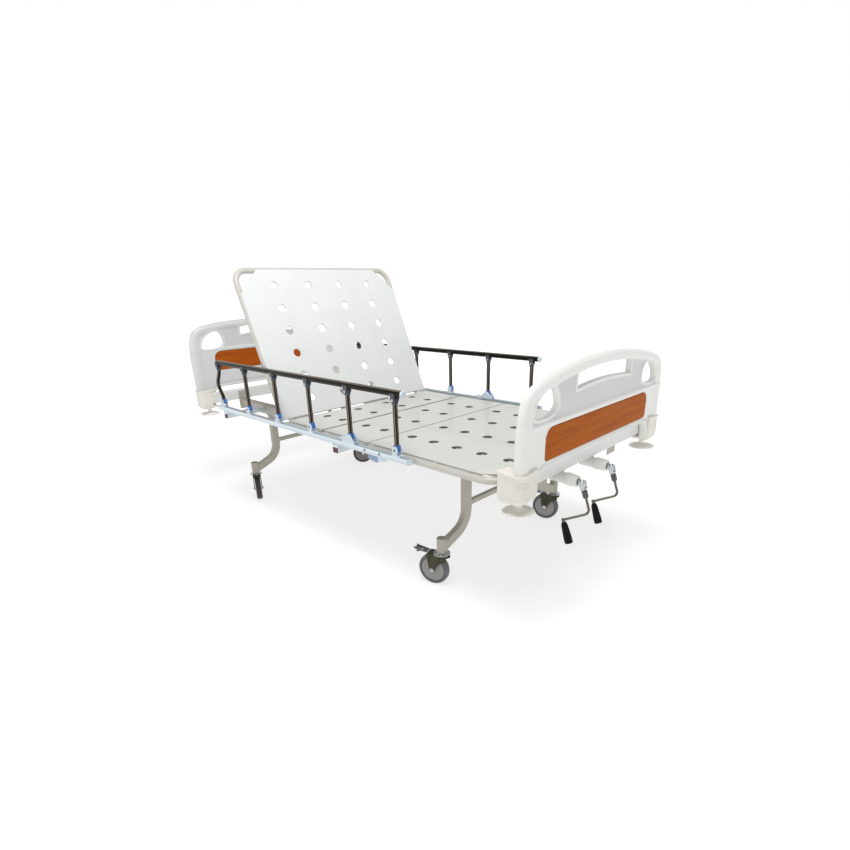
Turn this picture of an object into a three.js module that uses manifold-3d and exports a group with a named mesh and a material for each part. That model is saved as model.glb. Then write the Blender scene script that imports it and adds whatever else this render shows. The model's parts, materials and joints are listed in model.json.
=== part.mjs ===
// Two-crank hospital bed: fixed base on four casters, hinged deck, moulded end boards, folding side rails.
// Millimetres. +X is the foot end, +Z is up, the floor is z = 0. The backrest stands raised.
import * as THREE from 'three';
import Module from 'manifold-3d';
import { mergeVertices } from 'three/addons/utils/BufferGeometryUtils.js';

const wasm = await Module();
wasm.setup();

// ---------- driving dimensions ----------
const GAP = 0.3;
const SIDES = [-1, 1];
const ENDS = { head: -1, foot: 1 };

const DECK_TOP = 521;
const SHEET = 3;
const TUBE_R = 12.5;
const FRAME_Z = DECK_TOP - SHEET - GAP - TUBE_R;
const DECK_HALF = 470;
const TUBE_Y = DECK_HALF - TUBE_R;
const SHEET_HALF = 446;
const BACK_SHEET_HALF = 461;
const HOLE_R = 20;
const HOLE_Y = [-279, -93, 93, 279];
const KNUCKLE_GAP = 16;
const HINGE_PIN_R = 8;

const BACKREST_X = -243;
const BACKREST_LENGTH = 716;
const BACKREST_ANGLE = 67;
const BACKREST_ROWS = [96, 204, 312, 420, 528, 636];
const SEAT_FROM = -222;
const SEAT_TO = 33;
const SEAT_ROWS = [-156, -38];
const THIGH_X = 43;
const THIGH_ROWS = [129, 248];
const KNEE_X = 340;
const CALF_TO = 984;
const CALF_ROWS = [417, 535, 653, 771, 889];

const BEAM_Y = 255;
const BEAM_W = 40;
const BEAM_TOP = FRAME_Z - TUBE_R - GAP;
const BEAM_H = 50;
const END_BEAM_X = 1029;
const END_BEAM_W = 42;
const END_BEAM_Z = [494, 550];
const CORNER_Y = 440;
const CROSS_BEAM_X = [-560, -60, 420];
const CROSS_BEAM_H = 14;
const OUTRIGGER_X = [-738, 200];
const OUTRIGGER_Z = [464, 488];

const LEG_X = { head: -718, foot: 679 };
const LEG_SECTION = [40, 27];
const CASTER_Y = 399;
const SOCKET_R = 19;
const SOCKET_Z = [140, 200];
const BRACE_Z = 295;

const WHEEL_R = 62.5;
const WHEEL_W = 30;
const CASTER_TRAIL = 34;
const CASTER_TURN = { head_left: 154, head_right: 51, foot_left: 15, foot_right: 15 };

const BOARD_IN = END_BEAM_X + END_BEAM_W / 2 + GAP;
const BOARD_T = 34;
const BOARD_HALF = 497;
const BOARD = {
  head: { crown: 930, shoulder: 890, arch: 572, insert: [664, 766], oval: [779, 877], slot: [855, 898] },
  foot: { crown: 870, shoulder: 806, arch: 556, insert: [577, 681], oval: [714, 803], slot: [783, 832] },
};
const BUMPER_Z = [470, 571];
const BUMPER_SKIN = 9;
const BUMPER_INNER_Y = 405;
const DISC = { x: 1050, y: 450, r: 51, z: [431, 443], stem: 11 };

const RAIL_Y = 492;
const RAIL_BAR_Z = [500, 523];
const RAIL_BAR_W = 24;
const POST_R = 9.5;
const POST_END = 3;
const POST_PITCH = 262;
const POST_COUNT = 6;
const FIRST_POST = { left: -752, right: -847 };
const POST_FOOT_Z = 545;
const POST_TOP_Z = 722;
const TOP_RAIL_Z = 745;
const TOP_RAIL_R = 12.5;
const EAR_GAP = 10.4;
const EAR_T = 4;
const LATCH_OFFSET = 112;
const LATCH_TOP = 499.3;

const CRANK_X = 1125;
const CRANK_Z = 474;
const CRANK_Y = { backrest: -198, leg: 10 };
const CRANK_LEAN = 20;
const CRANK_ARM = 107;
const CRANK_THROW = 88;
const CRANK_SWEEP = 38;
const CRANK_ROD_R = 4.2;
const SPINDLE_R = 8;
const LEVER_LENGTH = 60;
const PUSH_R = 14;

// ---------- helpers: every shape is a closed BufferGeometry in millimetres ----------
const radians = THREE.MathUtils.degToRad;
const vec = (x, y, z) => new THREE.Vector3(x, y, z);

function weld(geometry) {
  const bare = geometry.clone();
  bare.deleteAttribute('normal');
  bare.deleteAttribute('uv');
  const merged = mergeVertices(bare, 1e-4);
  const kept = [];
  const index = merged.index.array;
  for (let i = 0; i < index.length; i += 3) {
    const [a, b, c] = index.slice(i, i + 3);
    if (a !== b && b !== c && c !== a) kept.push(a, b, c);
  }
  merged.setIndex(kept);
  return merged;
}

function toSolid(geometry) {
  const clean = weld(geometry);
  const mesh = new wasm.Mesh({
    numProp: 3,
    vertProperties: new Float32Array(clean.attributes.position.array),
    triVerts: new Uint32Array(clean.index.array),
  });
  return new wasm.Manifold(mesh);
}

function toGeometry(solid) {
  const mesh = solid.getMesh();
  const geometry = new THREE.BufferGeometry();
  geometry.setAttribute('position', new THREE.BufferAttribute(new Float32Array(mesh.vertProperties), 3));
  geometry.setIndex(new THREE.BufferAttribute(new Uint32Array(mesh.triVerts), 1));
  return geometry;
}

function join(...shapes) {
  return toGeometry(shapes.map(toSolid).reduce((all, next) => all.add(next)));
}

function cut(shape, ...tools) {
  return toGeometry(tools.map(toSolid).reduce((left, tool) => left.subtract(tool), toSolid(shape)));
}

function box([x0, x1], [y0, y1], [z0, z1]) {
  const geometry = new THREE.BoxGeometry(x1 - x0, y1 - y0, z1 - z0);
  return geometry.translate((x0 + x1) / 2, (y0 + y1) / 2, (z0 + z1) / 2);
}

const span = (middle, width) => [middle - width / 2, middle + width / 2];

function rod(from, to, radius, sides = 8, radiusTo = radius) {
  const along = to.clone().sub(from);
  const geometry = new THREE.CylinderGeometry(radiusTo, radius, along.length(), sides);
  geometry.applyQuaternion(new THREE.Quaternion().setFromUnitVectors(vec(0, 1, 0), along.clone().normalize()));
  return geometry.translate(...from.clone().add(to).multiplyScalar(0.5));
}

// A lathe solid about Z; profile is a list of [radius, z] that starts and ends on the axis or closes.
function turned(profile, sides = 18) {
  return new THREE.LatheGeometry(profile.map(([r, z]) => new THREE.Vector2(r, z)), sides).rotateX(Math.PI / 2);
}

// A route through given points, sampled exactly at those points.
class Route extends THREE.Curve {
  constructor(points) {
    super();
    this.points = points;
  }

  getPointAt(u, target = new THREE.Vector3()) {
    return target.copy(this.points[Math.round(u * (this.points.length - 1))]);
  }

  getTangentAt(u, target = new THREE.Vector3()) {
    const i = Math.round(u * (this.points.length - 1));
    const before = this.points[Math.max(i - 1, 0)];
    const after = this.points[Math.min(i + 1, this.points.length - 1)];
    return target.copy(after).sub(before).normalize();
  }
}

// The corners of a polyline, each replaced by an arc of the given radius.
function rounded(corners, radius, steps = 4) {
  const points = [corners[0]];
  for (let i = 1; i < corners.length - 1; i += 1) {
    const back = corners[i - 1].clone().sub(corners[i]).normalize();
    const ahead = corners[i + 1].clone().sub(corners[i]).normalize();
    const half = back.angleTo(ahead) / 2;
    const centre = back.clone().add(ahead).normalize().multiplyScalar(radius / Math.sin(half)).add(corners[i]);
    const start = corners[i].clone().addScaledVector(back, radius / Math.tan(half)).sub(centre);
    const end = corners[i].clone().addScaledVector(ahead, radius / Math.tan(half)).sub(centre);
    const axis = start.clone().cross(end).normalize();
    for (let k = 0; k <= steps; k += 1) {
      points.push(start.clone().applyAxisAngle(axis, (start.angleTo(end) * k) / steps).add(centre));
    }
  }
  points.push(corners.at(-1));
  return points;
}

function sweep(points, section) {
  const path = new Route(points);
  return new THREE.ExtrudeGeometry(section, { steps: points.length - 1, extrudePath: path, curveSegments: 3 });
}

function roundSection(radius, sides = 8) {
  const corners = [];
  for (let i = 0; i < sides; i += 1) {
    const angle = (i * 2 * Math.PI) / sides;
    corners.push(new THREE.Vector2(radius * Math.cos(angle), radius * Math.sin(angle)));
  }
  return new THREE.Shape(corners);
}

function rectSection(width, height) {
  const [w, h] = [width / 2, height / 2];
  return new THREE.Shape([[-w, -h], [w, -h], [w, h], [-w, h]].map(([x, y]) => new THREE.Vector2(x, y)));
}

// An outline in the YZ plane, extruded along +X from x0.
function slabX(shape, x0, thickness, curveSegments = 6) {
  const geometry = new THREE.ExtrudeGeometry(shape, { depth: thickness, bevelEnabled: false, curveSegments });
  return geometry.rotateX(Math.PI / 2).rotateZ(Math.PI / 2).translate(x0, 0, 0);
}

// An outline in the XZ plane, extruded along +Y from y0.
function slabY(shape, y0, thickness, curveSegments = 6) {
  const geometry = new THREE.ExtrudeGeometry(shape, { depth: thickness, bevelEnabled: false, curveSegments });
  return geometry.rotateX(Math.PI / 2).translate(0, y0 + thickness, 0);
}

function slabZ(shape, z0, thickness, curveSegments = 6) {
  const geometry = new THREE.ExtrudeGeometry(shape, { depth: thickness, bevelEnabled: false, curveSegments });
  return geometry.translate(0, 0, z0);
}

function roundedRect([x0, x1], [y0, y1], r) {
  const shape = new THREE.Shape();
  shape.moveTo(x0 + r, y0);
  shape.lineTo(x1 - r, y0).absarc(x1 - r, y0 + r, r, -Math.PI / 2, 0);
  shape.lineTo(x1, y1 - r).absarc(x1 - r, y1 - r, r, 0, Math.PI / 2);
  shape.lineTo(x0 + r, y1).absarc(x0 + r, y1 - r, r, Math.PI / 2, Math.PI);
  shape.lineTo(x0, y0 + r).absarc(x0 + r, y0 + r, r, Math.PI, 1.5 * Math.PI);
  return shape;
}

// ---------- materials ----------
const paint = (color, roughness = 0.45, metalness = 0.1) =>
  new THREE.MeshStandardMaterial({ color, roughness, metalness });
const MATERIAL = {
  frame: paint(0xcdc8bd),
  deck: paint(0xdededa),
  board: paint(0xf1f0ea, 0.3, 0),
  wood: paint(0xb95f1e, 0.4, 0),
  bumper: paint(0xe9e6dd, 0.45, 0),
  aluminium: paint(0xc9d8e0, 0.3, 0.8),
  post: paint(0x6d6259, 0.3, 0.9),
  latch: paint(0x9fb8c8, 0.4, 0.4),
  chrome: paint(0xb8bcc0, 0.15, 1),
  steel: paint(0x7c7872, 0.35, 0.9),
  black: paint(0x121212, 0.6, 0),
  fork: paint(0x55564a, 0.4, 0.6),
  tyre: paint(0x6a6a6c, 0.7, 0),
};

const bed = new THREE.Group();

function add(name, geometry, material, parent = bed) {
  const mesh = new THREE.Mesh(weld(geometry), material);
  mesh.name = name;
  mesh.geometry.computeVertexNormals();
  parent.add(mesh);
  return mesh;
}

// ---------- deck: sheet panels on tube frames ----------
// Deck sections are drawn lying flat, from their hinge line at u = 0, with +u pointing away from it.
function sheetOutline([u0, u1], chamfer, half) {
  const outline = new THREE.Shape();
  outline.moveTo(u0, -half);
  outline.lineTo(u1 - chamfer, -half).lineTo(u1, -half + chamfer);
  outline.lineTo(u1, half - chamfer).lineTo(u1 - chamfer, half);
  outline.lineTo(u0, half);
  return outline;
}

function panel(range, rows, chamfer = 0, half = SHEET_HALF) {
  const outline = sheetOutline(range, chamfer, half);
  for (const u of rows) {
    for (const y of HOLE_Y) {
      const hole = new THREE.Path();
      hole.absarc(u, y, HOLE_R, 0, 2 * Math.PI);
      outline.holes.push(hole);
    }
  }
  return slabZ(outline, DECK_TOP - SHEET, SHEET, 4);
}

const crossTube = (u) => rod(vec(u, -TUBE_Y, FRAME_Z), vec(u, TUBE_Y, FRAME_Z), TUBE_R);
const sideTube = (u0, u1, side) => rod(vec(u0, side * TUBE_Y, FRAME_Z), vec(u1, side * TUBE_Y, FRAME_Z), TUBE_R);

function hoop(from, to, bend) {
  const corners = [[from, -TUBE_Y], [to - TUBE_R, -TUBE_Y], [to - TUBE_R, TUBE_Y], [from, TUBE_Y]];
  return sweep(rounded(corners.map(([u, y]) => vec(u, y, FRAME_Z)), bend), roundSection(TUBE_R));
}

// Ears that carry a section on its hinge pin, reaching from the pin to the section's first cross tube.
const LUG_Y = [-400, -120, 120, 400];

function lug(u0, u1, y) {
  const ear = new THREE.Shape();
  const middle = FRAME_Z;
  ear.moveTo(u1, middle - 7).lineTo(u1, middle + 7).lineTo(u0, middle + 11);
  ear.lineTo(u0 - Math.sign(u1 - u0) * 11, middle + 5).lineTo(u0 - Math.sign(u1 - u0) * 11, middle - 5);
  ear.lineTo(u0, middle - 11);
  const bore = rod(vec(u0, y - 10, middle), vec(u0, y + 10, middle), HINGE_PIN_R + 0.8, 10);
  return cut(slabY(ear, y - 3, 6), bore);
}

const hingePin = (x, half) => rod(vec(x, -half, FRAME_Z), vec(x, half, FRAME_Z), HINGE_PIN_R, 8);

// A lever plate under a hinge, with a cross pin at its end, at the given angle from straight down.
function lever(pivotX, y, angle, reach) {
  const swing = radians(angle);
  const pinX = pivotX + reach * Math.sin(swing);
  const pinZ = FRAME_Z - reach * Math.cos(swing);
  const plate = new THREE.Shape();
  const [sx, sz] = [Math.cos(swing) * 9, Math.sin(swing) * 9];
  plate.moveTo(pivotX - sx, FRAME_Z - sz - 9).lineTo(pinX - sx, pinZ - sz);
  plate.lineTo(pinX + sx, pinZ + sz).lineTo(pivotX + sx, FRAME_Z + sz - 9);
  const pin = rod(vec(pinX, y - 14, pinZ), vec(pinX, y + 14, pinZ), 5, 8);
  return join(slabY(plate, y - 4, 8), pin);
}

// ---------- backrest ----------
const backrestPose = new THREE.Group();
backrestPose.position.set(BACKREST_X, 0, FRAME_Z);
backrestPose.rotation.y = radians(BACKREST_ANGLE);
bed.add(backrestPose);
const LEVER_SWING = BACKREST_ANGLE / 2;

function backrestFrame() {
  const mirror = (geometry) => geometry.applyMatrix4(new THREE.Matrix4().makeRotationZ(Math.PI));
  const tubes = join(
    mirror(hoop(KNUCKLE_GAP, BACKREST_LENGTH + TUBE_R, 62)),
    crossTube(-KNUCKLE_GAP - TUBE_R),
    crossTube(-360),
    ...LUG_Y.map((y) => lug(0, -KNUCKLE_GAP - TUBE_R, y)),
  );
  const neck = box([-KNUCKLE_GAP - TUBE_R, -11], span(CRANK_Y.backrest, 8), span(FRAME_Z, 16));
  return join(tubes, neck);
}

function backrestLever() {
  const y = CRANK_Y.backrest;
  const hub = rod(vec(0, y - 4, FRAME_Z), vec(0, y + 4, FRAME_Z), 15, 12);
  const bore = rod(vec(0, y - 10, FRAME_Z), vec(0, y + 10, FRAME_Z), HINGE_PIN_R + 0.8, 10);
  return cut(join(hub, lever(0, y, LEVER_SWING, LEVER_LENGTH)), bore);
}

const settle = (geometry) => geometry.translate(0, 0, -FRAME_Z);
add('backrest_frame', settle(join(backrestFrame(), backrestLever())), MATERIAL.frame, backrestPose);
const backrestSheet = panel([-BACKREST_LENGTH + 3, -KNUCKLE_GAP], BACKREST_ROWS.map((s) => -s), 0, BACK_SHEET_HALF);
const CHAMFER = 112;
const chamferCuts = SIDES.map((side) => {
  const corner = new THREE.Shape();
  const tip = -BACKREST_LENGTH + 3;
  corner.moveTo(tip - 5, side * (BACK_SHEET_HALF - CHAMFER - 5));
  corner.lineTo(tip + CHAMFER + 5, side * (BACK_SHEET_HALF + 5)).lineTo(tip - 5, side * (BACK_SHEET_HALF + 5));
  return slabZ(corner, DECK_TOP - 20, 40);
});
add('backrest_panel', settle(cut(backrestSheet, ...chamferCuts)), MATERIAL.deck, backrestPose);

// ---------- fixed seat section, thigh and calf sections ----------
const seatFrame = join(
  ...SIDES.map((side) => sideTube(SEAT_FROM, THIGH_X - KNUCKLE_GAP, side)),
  crossTube(SEAT_FROM + TUBE_R),
  crossTube(THIGH_X - KNUCKLE_GAP - TUBE_R),
  panel([SEAT_FROM, SEAT_TO], SEAT_ROWS).translate(0, 0, -GAP - 0.2),
);
add('seat_panel', seatFrame, MATERIAL.deck);

function thighSection() {
  const from = THIGH_X + KNUCKLE_GAP;
  const to = KNEE_X - KNUCKLE_GAP;
  const y = CRANK_Y.leg;
  const hub = rod(vec(THIGH_X, y - 4, FRAME_Z), vec(THIGH_X, y + 4, FRAME_Z), 15, 12);
  const bore = rod(vec(THIGH_X, y - 10, FRAME_Z), vec(THIGH_X, y + 10, FRAME_Z), HINGE_PIN_R + 0.8, 10);
  const neck = box([THIGH_X + 11, from + TUBE_R], span(y, 8), span(FRAME_Z, 16));
  const kneeEars = LUG_Y.map((ear) => box([to - TUBE_R, KNEE_X + 4], span(ear + 8, 6), span(FRAME_Z, 14)));
  return join(
    ...SIDES.map((side) => sideTube(from, to, side)),
    crossTube(from + TUBE_R),
    crossTube(to - TUBE_R),
    panel([THIGH_X + 4, KNEE_X - 4], THIGH_ROWS).translate(0, 0, -GAP - 0.2),
    ...LUG_Y.map((ear) => lug(THIGH_X, from + TUBE_R, ear)),
    ...kneeEars,
    hingePin(KNEE_X, 420),
    cut(join(hub, neck, lever(THIGH_X, y, -20, LEVER_LENGTH)), bore),
  );
}
add('thigh_panel', thighSection(), MATERIAL.deck);

const calfStart = KNEE_X + KNUCKLE_GAP;
const calfFrame = join(
  hoop(calfStart, CALF_TO, 70),
  crossTube(calfStart + TUBE_R),
  crossTube(700),
  ...LUG_Y.map((y) => lug(KNEE_X, calfStart + TUBE_R, y)),
);
add('calf_frame', calfFrame, MATERIAL.frame);
add('calf_panel', panel([KNEE_X + 4, CALF_TO - 14], CALF_ROWS, 62), MATERIAL.deck);

// ---------- base frame ----------
function baseFrame() {
  const beamEnd = END_BEAM_X + END_BEAM_W / 2;
  const parts = [];
  for (const side of SIDES) {
    parts.push(box([-beamEnd, beamEnd], span(side * BEAM_Y, BEAM_W), [BEAM_TOP - BEAM_H, BEAM_TOP]));
    parts.push(box(span(side * END_BEAM_X, END_BEAM_W), [-CORNER_Y, CORNER_Y], END_BEAM_Z));
    for (const end of SIDES) {
      const seat = [BEAM_TOP - 5, END_BEAM_Z[0] + 5];
      parts.push(box(span(end * END_BEAM_X, END_BEAM_W), span(side * BEAM_Y, BEAM_W), seat));
    }
    for (const x of [BACKREST_X, THIGH_X]) {
      parts.push(box(span(x, 24), span(side * BEAM_Y, 6), [BEAM_TOP - 2, FRAME_Z]));
    }
  }
  for (const x of CROSS_BEAM_X) {
    parts.push(box(span(x, 30), [-BEAM_Y, BEAM_Y], [BEAM_TOP - BEAM_H, BEAM_TOP - BEAM_H + CROSS_BEAM_H]));
  }
  for (const x of [BACKREST_X, THIGH_X]) parts.push(hingePin(x, 430));
  for (const x of OUTRIGGER_X) {
    for (const side of SIDES) {
      const reach = [side * BEAM_Y, side * (RAIL_Y + 12)].sort((a, b) => a - b);
      const pad = span(side * RAIL_Y, RAIL_BAR_W);
      parts.push(box(span(x, 30), reach, OUTRIGGER_Z));
      parts.push(box(span(x, 30), pad, [OUTRIGGER_Z[1] - 1, RAIL_BAR_Z[0] - GAP]));
    }
  }
  return join(...parts);
}
add('base_frame', baseFrame(), MATERIAL.frame);

// ---------- leg frames ----------
function legFrame(x) {
  const parts = SIDES.map((side) => {
    const corners = [[BEAM_Y, BEAM_TOP - BEAM_H - GAP], [BEAM_Y, 214], [CASTER_Y, 160]];
    const path = rounded(corners.map(([y, z]) => vec(x, side * y, z)), 92, 5);
    const socket = rod(vec(x, side * CASTER_Y, SOCKET_Z[0]), vec(x, side * CASTER_Y, SOCKET_Z[1]), SOCKET_R, 14);
    return join(sweep(path, rectSection(LEG_SECTION[0], LEG_SECTION[1])), socket);
  });
  const brace = box(span(x, 20), [-BEAM_Y, BEAM_Y], span(BRACE_Z, 20));
  return join(...parts, brace);
}
for (const end of Object.keys(ENDS)) add(`leg_frame_${end}`, legFrame(LEG_X[end]), MATERIAL.frame);

// ---------- casters ----------
const wheelProfile = [
  [0, 2 - WHEEL_W / 2], [44, 2 - WHEEL_W / 2], [56, -WHEEL_W / 2], [WHEEL_R, -9],
  [WHEEL_R, 9], [56, WHEEL_W / 2], [44, WHEEL_W / 2 - 2], [0, WHEEL_W / 2 - 2],
];

function fork() {
  const cheek = new THREE.Shape();
  cheek.moveTo(26, 131).lineTo(-58, 131).lineTo(-CASTER_TRAIL - 13, WHEEL_R);
  cheek.absarc(-CASTER_TRAIL, WHEEL_R, 13, Math.PI, 1.85 * Math.PI).lineTo(26, 112);
  const cheeks = SIDES.map((side) => slabY(cheek, side * (WHEEL_W / 2 + 4) - 2, 4, 3));
  const crown = slabZ(roundedRect([-56, 27], [-WHEEL_W / 2 - 6, WHEEL_W / 2 + 6], 8), 128, 5, 1);
  const ring = turned([[0, 132], [30, 132], [33, 137], [24, SOCKET_Z[0] - GAP], [0, SOCKET_Z[0] - GAP]], 14);
  return join(...cheeks, crown, ring);
}

function brakePedal() {
  const side = new THREE.Shape();
  side.moveTo(-58, 134).lineTo(-100, 138).lineTo(-116, 146).lineTo(-118, 141);
  side.lineTo(-104, 131).lineTo(-66, 126).lineTo(-59.5, 127);
  return slabY(side, -16.5, 33);
}

for (const [end, x] of Object.entries(LEG_X)) {
  for (const [hand, side] of [['left', -1], ['right', 1]]) {
    const place = new THREE.Group();
    place.position.set(x, side * CASTER_Y, 0);
    place.rotation.z = radians(CASTER_TURN[`${end}_${hand}`]);
    bed.add(place);
    add(`caster_fork_${end}_${hand}`, fork(), MATERIAL.fork, place);
    const wheel = turned(wheelProfile, 22).rotateX(Math.PI / 2).translate(-CASTER_TRAIL, 0, WHEEL_R);
    add(`caster_wheel_${end}_${hand}`, wheel, MATERIAL.tyre, place);
    if (end === 'foot') add(`brake_pedal_${end}_${hand}`, brakePedal(), MATERIAL.fork, place);
  }
}

// ---------- end boards ----------
function boardOutline({ crown, shoulder, arch }) {
  const foot = BUMPER_Z[0] + 12;
  const outline = new THREE.Shape();
  const right = [[BOARD_HALF, foot], [BOARD_HALF, shoulder - 190]];
  outline.moveTo(...right[0]).lineTo(...right[1]);
  outline.bezierCurveTo(BOARD_HALF, shoulder - 70, BOARD_HALF - 12, shoulder - 20, BOARD_HALF - 50, shoulder);
  outline.bezierCurveTo(BOARD_HALF - 110, shoulder + 32, 190, crown, 0, crown);
  outline.bezierCurveTo(-190, crown, -BOARD_HALF + 110, shoulder + 32, -BOARD_HALF + 50, shoulder);
  outline.bezierCurveTo(-BOARD_HALF + 12, shoulder - 20, -BOARD_HALF, shoulder - 70, -BOARD_HALF, shoulder - 190);
  outline.lineTo(-BOARD_HALF, foot).lineTo(-400, foot);
  outline.lineTo(-400, arch - 60).quadraticCurveTo(-400, arch, -345, arch);
  outline.lineTo(345, arch).quadraticCurveTo(400, arch, 400, arch - 60).lineTo(400, foot);
  return outline;
}

function ovalWindow(side, [low, high]) {
  const middle = (low + high) / 2;
  const window = new THREE.Shape();
  window.moveTo(side * 300, low + 30);
  window.quadraticCurveTo(side * 302, high - 18, side * 330, high - 6);
  window.bezierCurveTo(side * 360, high, side * 425, middle + 20, side * 428, low + 12);
  window.bezierCurveTo(side * 428, low - 4, side * 302, low - 6, side * 300, low + 30);
  return window;
}

function handleSlot([low, high], half) {
  const window = new THREE.Shape();
  window.moveTo(-half, low - 8).quadraticCurveTo(0, low + 14, half, low - 8);
  window.lineTo(half, high - 12).quadraticCurveTo(0, high + 12, -half, high - 12);
  return window;
}

function endBoard(end) {
  const dims = BOARD[end];
  const x0 = ENDS[end] > 0 ? BOARD_IN : -BOARD_IN - BOARD_T;
  const through = (shape) => slabX(shape, x0 - 5, BOARD_T + 10, 4);
  const tools = SIDES.map((side) => through(ovalWindow(side, dims.oval)));
  tools.push(through(handleSlot(dims.slot, 190)));
  tools.push(through(roundedRect([-365 - GAP, 365 + GAP], [dims.insert[0] - GAP, dims.insert[1] + GAP], 34)));
  return cut(slabX(boardOutline(dims), x0, BOARD_T, 6), ...tools);
}

function boardInsert(end) {
  const { insert } = BOARD[end];
  const x0 = ENDS[end] > 0 ? BOARD_IN : -BOARD_IN - BOARD_T;
  return slabX(roundedRect([-365, 365], insert, 34), x0 + 5, BOARD_T - 10, 4);
}

const boardNames = { head: 'headboard', foot: 'footboard' };
for (const [end, name] of Object.entries(boardNames)) {
  add(name, endBoard(end), MATERIAL.board);
  add(`${name}_insert`, boardInsert(end), MATERIAL.wood);
}

// ---------- corner bumpers and their roller discs ----------
// The guard wraps the board's foot out to the arch, and leaves room for the end beam behind the board.
function cornerBumper() {
  const outer = roundedRect([1000, BOARD_IN + BOARD_T + BUMPER_SKIN], [BUMPER_INNER_Y, BOARD_HALF + BUMPER_SKIN], 8);
  const block = slabZ(outer, BUMPER_Z[0], BUMPER_Z[1] - BUMPER_Z[0], 3);
  const sill = BUMPER_Z[0] + 12 - GAP;
  const boardPocket = box(
    [BOARD_IN - GAP, BOARD_IN + BOARD_T + GAP],
    [BUMPER_INNER_Y - 20, BOARD_HALF + GAP],
    [sill, BUMPER_Z[1] + 5],
  );
  const beamPocket = box([980, BOARD_IN], [BUMPER_INNER_Y - 20, CORNER_Y + GAP], [sill, BUMPER_Z[1] + 5]);
  return cut(block, boardPocket, beamPocket);
}

// Mirroring turns a shape inside out, so its triangles are wound the other way again.
function mirrored(geometry, sx, sy) {
  const flipped = weld(geometry).scale(sx, sy, 1);
  if (sx * sy > 0) return flipped;
  const index = flipped.index.array;
  for (let i = 0; i < index.length; i += 3) [index[i], index[i + 1]] = [index[i + 1], index[i]];
  return flipped;
}

const discTop = DISC.z[1];
const discProfile = [
  [0, DISC.z[0]], [DISC.r - 4, DISC.z[0]], [DISC.r, DISC.z[0] + 5], [DISC.stem + 8, discTop],
  [DISC.stem, discTop + 4], [DISC.stem, BUMPER_Z[0] - GAP], [0, BUMPER_Z[0] - GAP],
];
for (const [end, direction] of Object.entries(ENDS)) {
  for (const [hand, side] of [['left', -1], ['right', 1]]) {
    add(`corner_bumper_${end}_${hand}`, mirrored(cornerBumper(), direction, side), MATERIAL.bumper);
    const disc = turned(discProfile, 20).translate(direction * DISC.x, side * DISC.y, 0);
    add(`roller_disc_${end}_${hand}`, disc, MATERIAL.bumper);
  }
}

// ---------- side rails ----------
const ears = (x, y, shape) =>
  SIDES.map((side) => slabY(shape(x), y + side * (EAR_GAP + EAR_T / 2) - EAR_T / 2, EAR_T, 2));

const footEar = (x) => {
  const ear = new THREE.Shape();
  ear.moveTo(x - 15, RAIL_BAR_Z[1] - 3).lineTo(x + 15, RAIL_BAR_Z[1] - 3).lineTo(x + 11, POST_FOOT_Z);
  ear.absarc(x, POST_FOOT_Z, 11, 0, Math.PI);
  return ear;
};
const topEar = (x) => {
  const ear = new THREE.Shape();
  ear.moveTo(x + 10, TOP_RAIL_Z).lineTo(x - 10, TOP_RAIL_Z).lineTo(x - 10, POST_TOP_Z);
  ear.absarc(x, POST_TOP_Z, 10, Math.PI, 2 * Math.PI);
  return ear;
};

function straightPost(x, y) {
  return rod(vec(x, y, POST_FOOT_Z - POST_END), vec(x, y, POST_TOP_Z + POST_END), POST_R);
}

// The first post bows toward the head end.
const POST_BOW = 36;

function bowedPost(x, y) {
  const [low, high] = [POST_FOOT_Z - POST_END, POST_TOP_Z + POST_END];
  const route = [];
  for (let i = 0; i <= 8; i += 1) {
    const t = i / 8;
    route.push(vec(x - POST_BOW * Math.sin(Math.PI * t) ** 2, y, low + (high - low) * t));
  }
  return sweep(route, roundSection(POST_R));
}

for (const [hand, side] of [['left', -1], ['right', 1]]) {
  const y = side * RAIL_Y;
  const xs = Array.from({ length: POST_COUNT }, (_, i) => FIRST_POST[hand] + i * POST_PITCH);
  const bar = box([xs[0] - 58, xs.at(-1) + 66], span(y, RAIL_BAR_W), RAIL_BAR_Z);
  add(`rail_bar_${hand}`, join(bar, ...xs.flatMap((x) => ears(x, y, footEar))), MATERIAL.aluminium);
  const top = rod(vec(xs[0] - 8, y, TOP_RAIL_Z), vec(xs.at(-1) + 48, y, TOP_RAIL_Z), TOP_RAIL_R, 10);
  add(`rail_top_${hand}`, join(top, ...xs.flatMap((x) => ears(x, y, topEar))), MATERIAL.post);
  xs.forEach((x, i) => {
    add(`rail_post_${i + 1}_${hand}`, i === 0 ? bowedPost(x, y) : straightPost(x, y), MATERIAL.post);
  });
  const latchX = xs[4] + LATCH_OFFSET;
  const handle = new THREE.Shape();
  handle.moveTo(latchX - 6, 494).lineTo(latchX, LATCH_TOP).lineTo(latchX + 88, LATCH_TOP);
  handle.lineTo(latchX + 92, 486).lineTo(latchX + 60, 476).lineTo(latchX, 484);
  add(`rail_latch_${hand}`, slabY(handle, y - 10, 20), MATERIAL.latch);
}

// ---------- crank drives ----------
const HOUSING_X = [1006, 1111];

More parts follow.
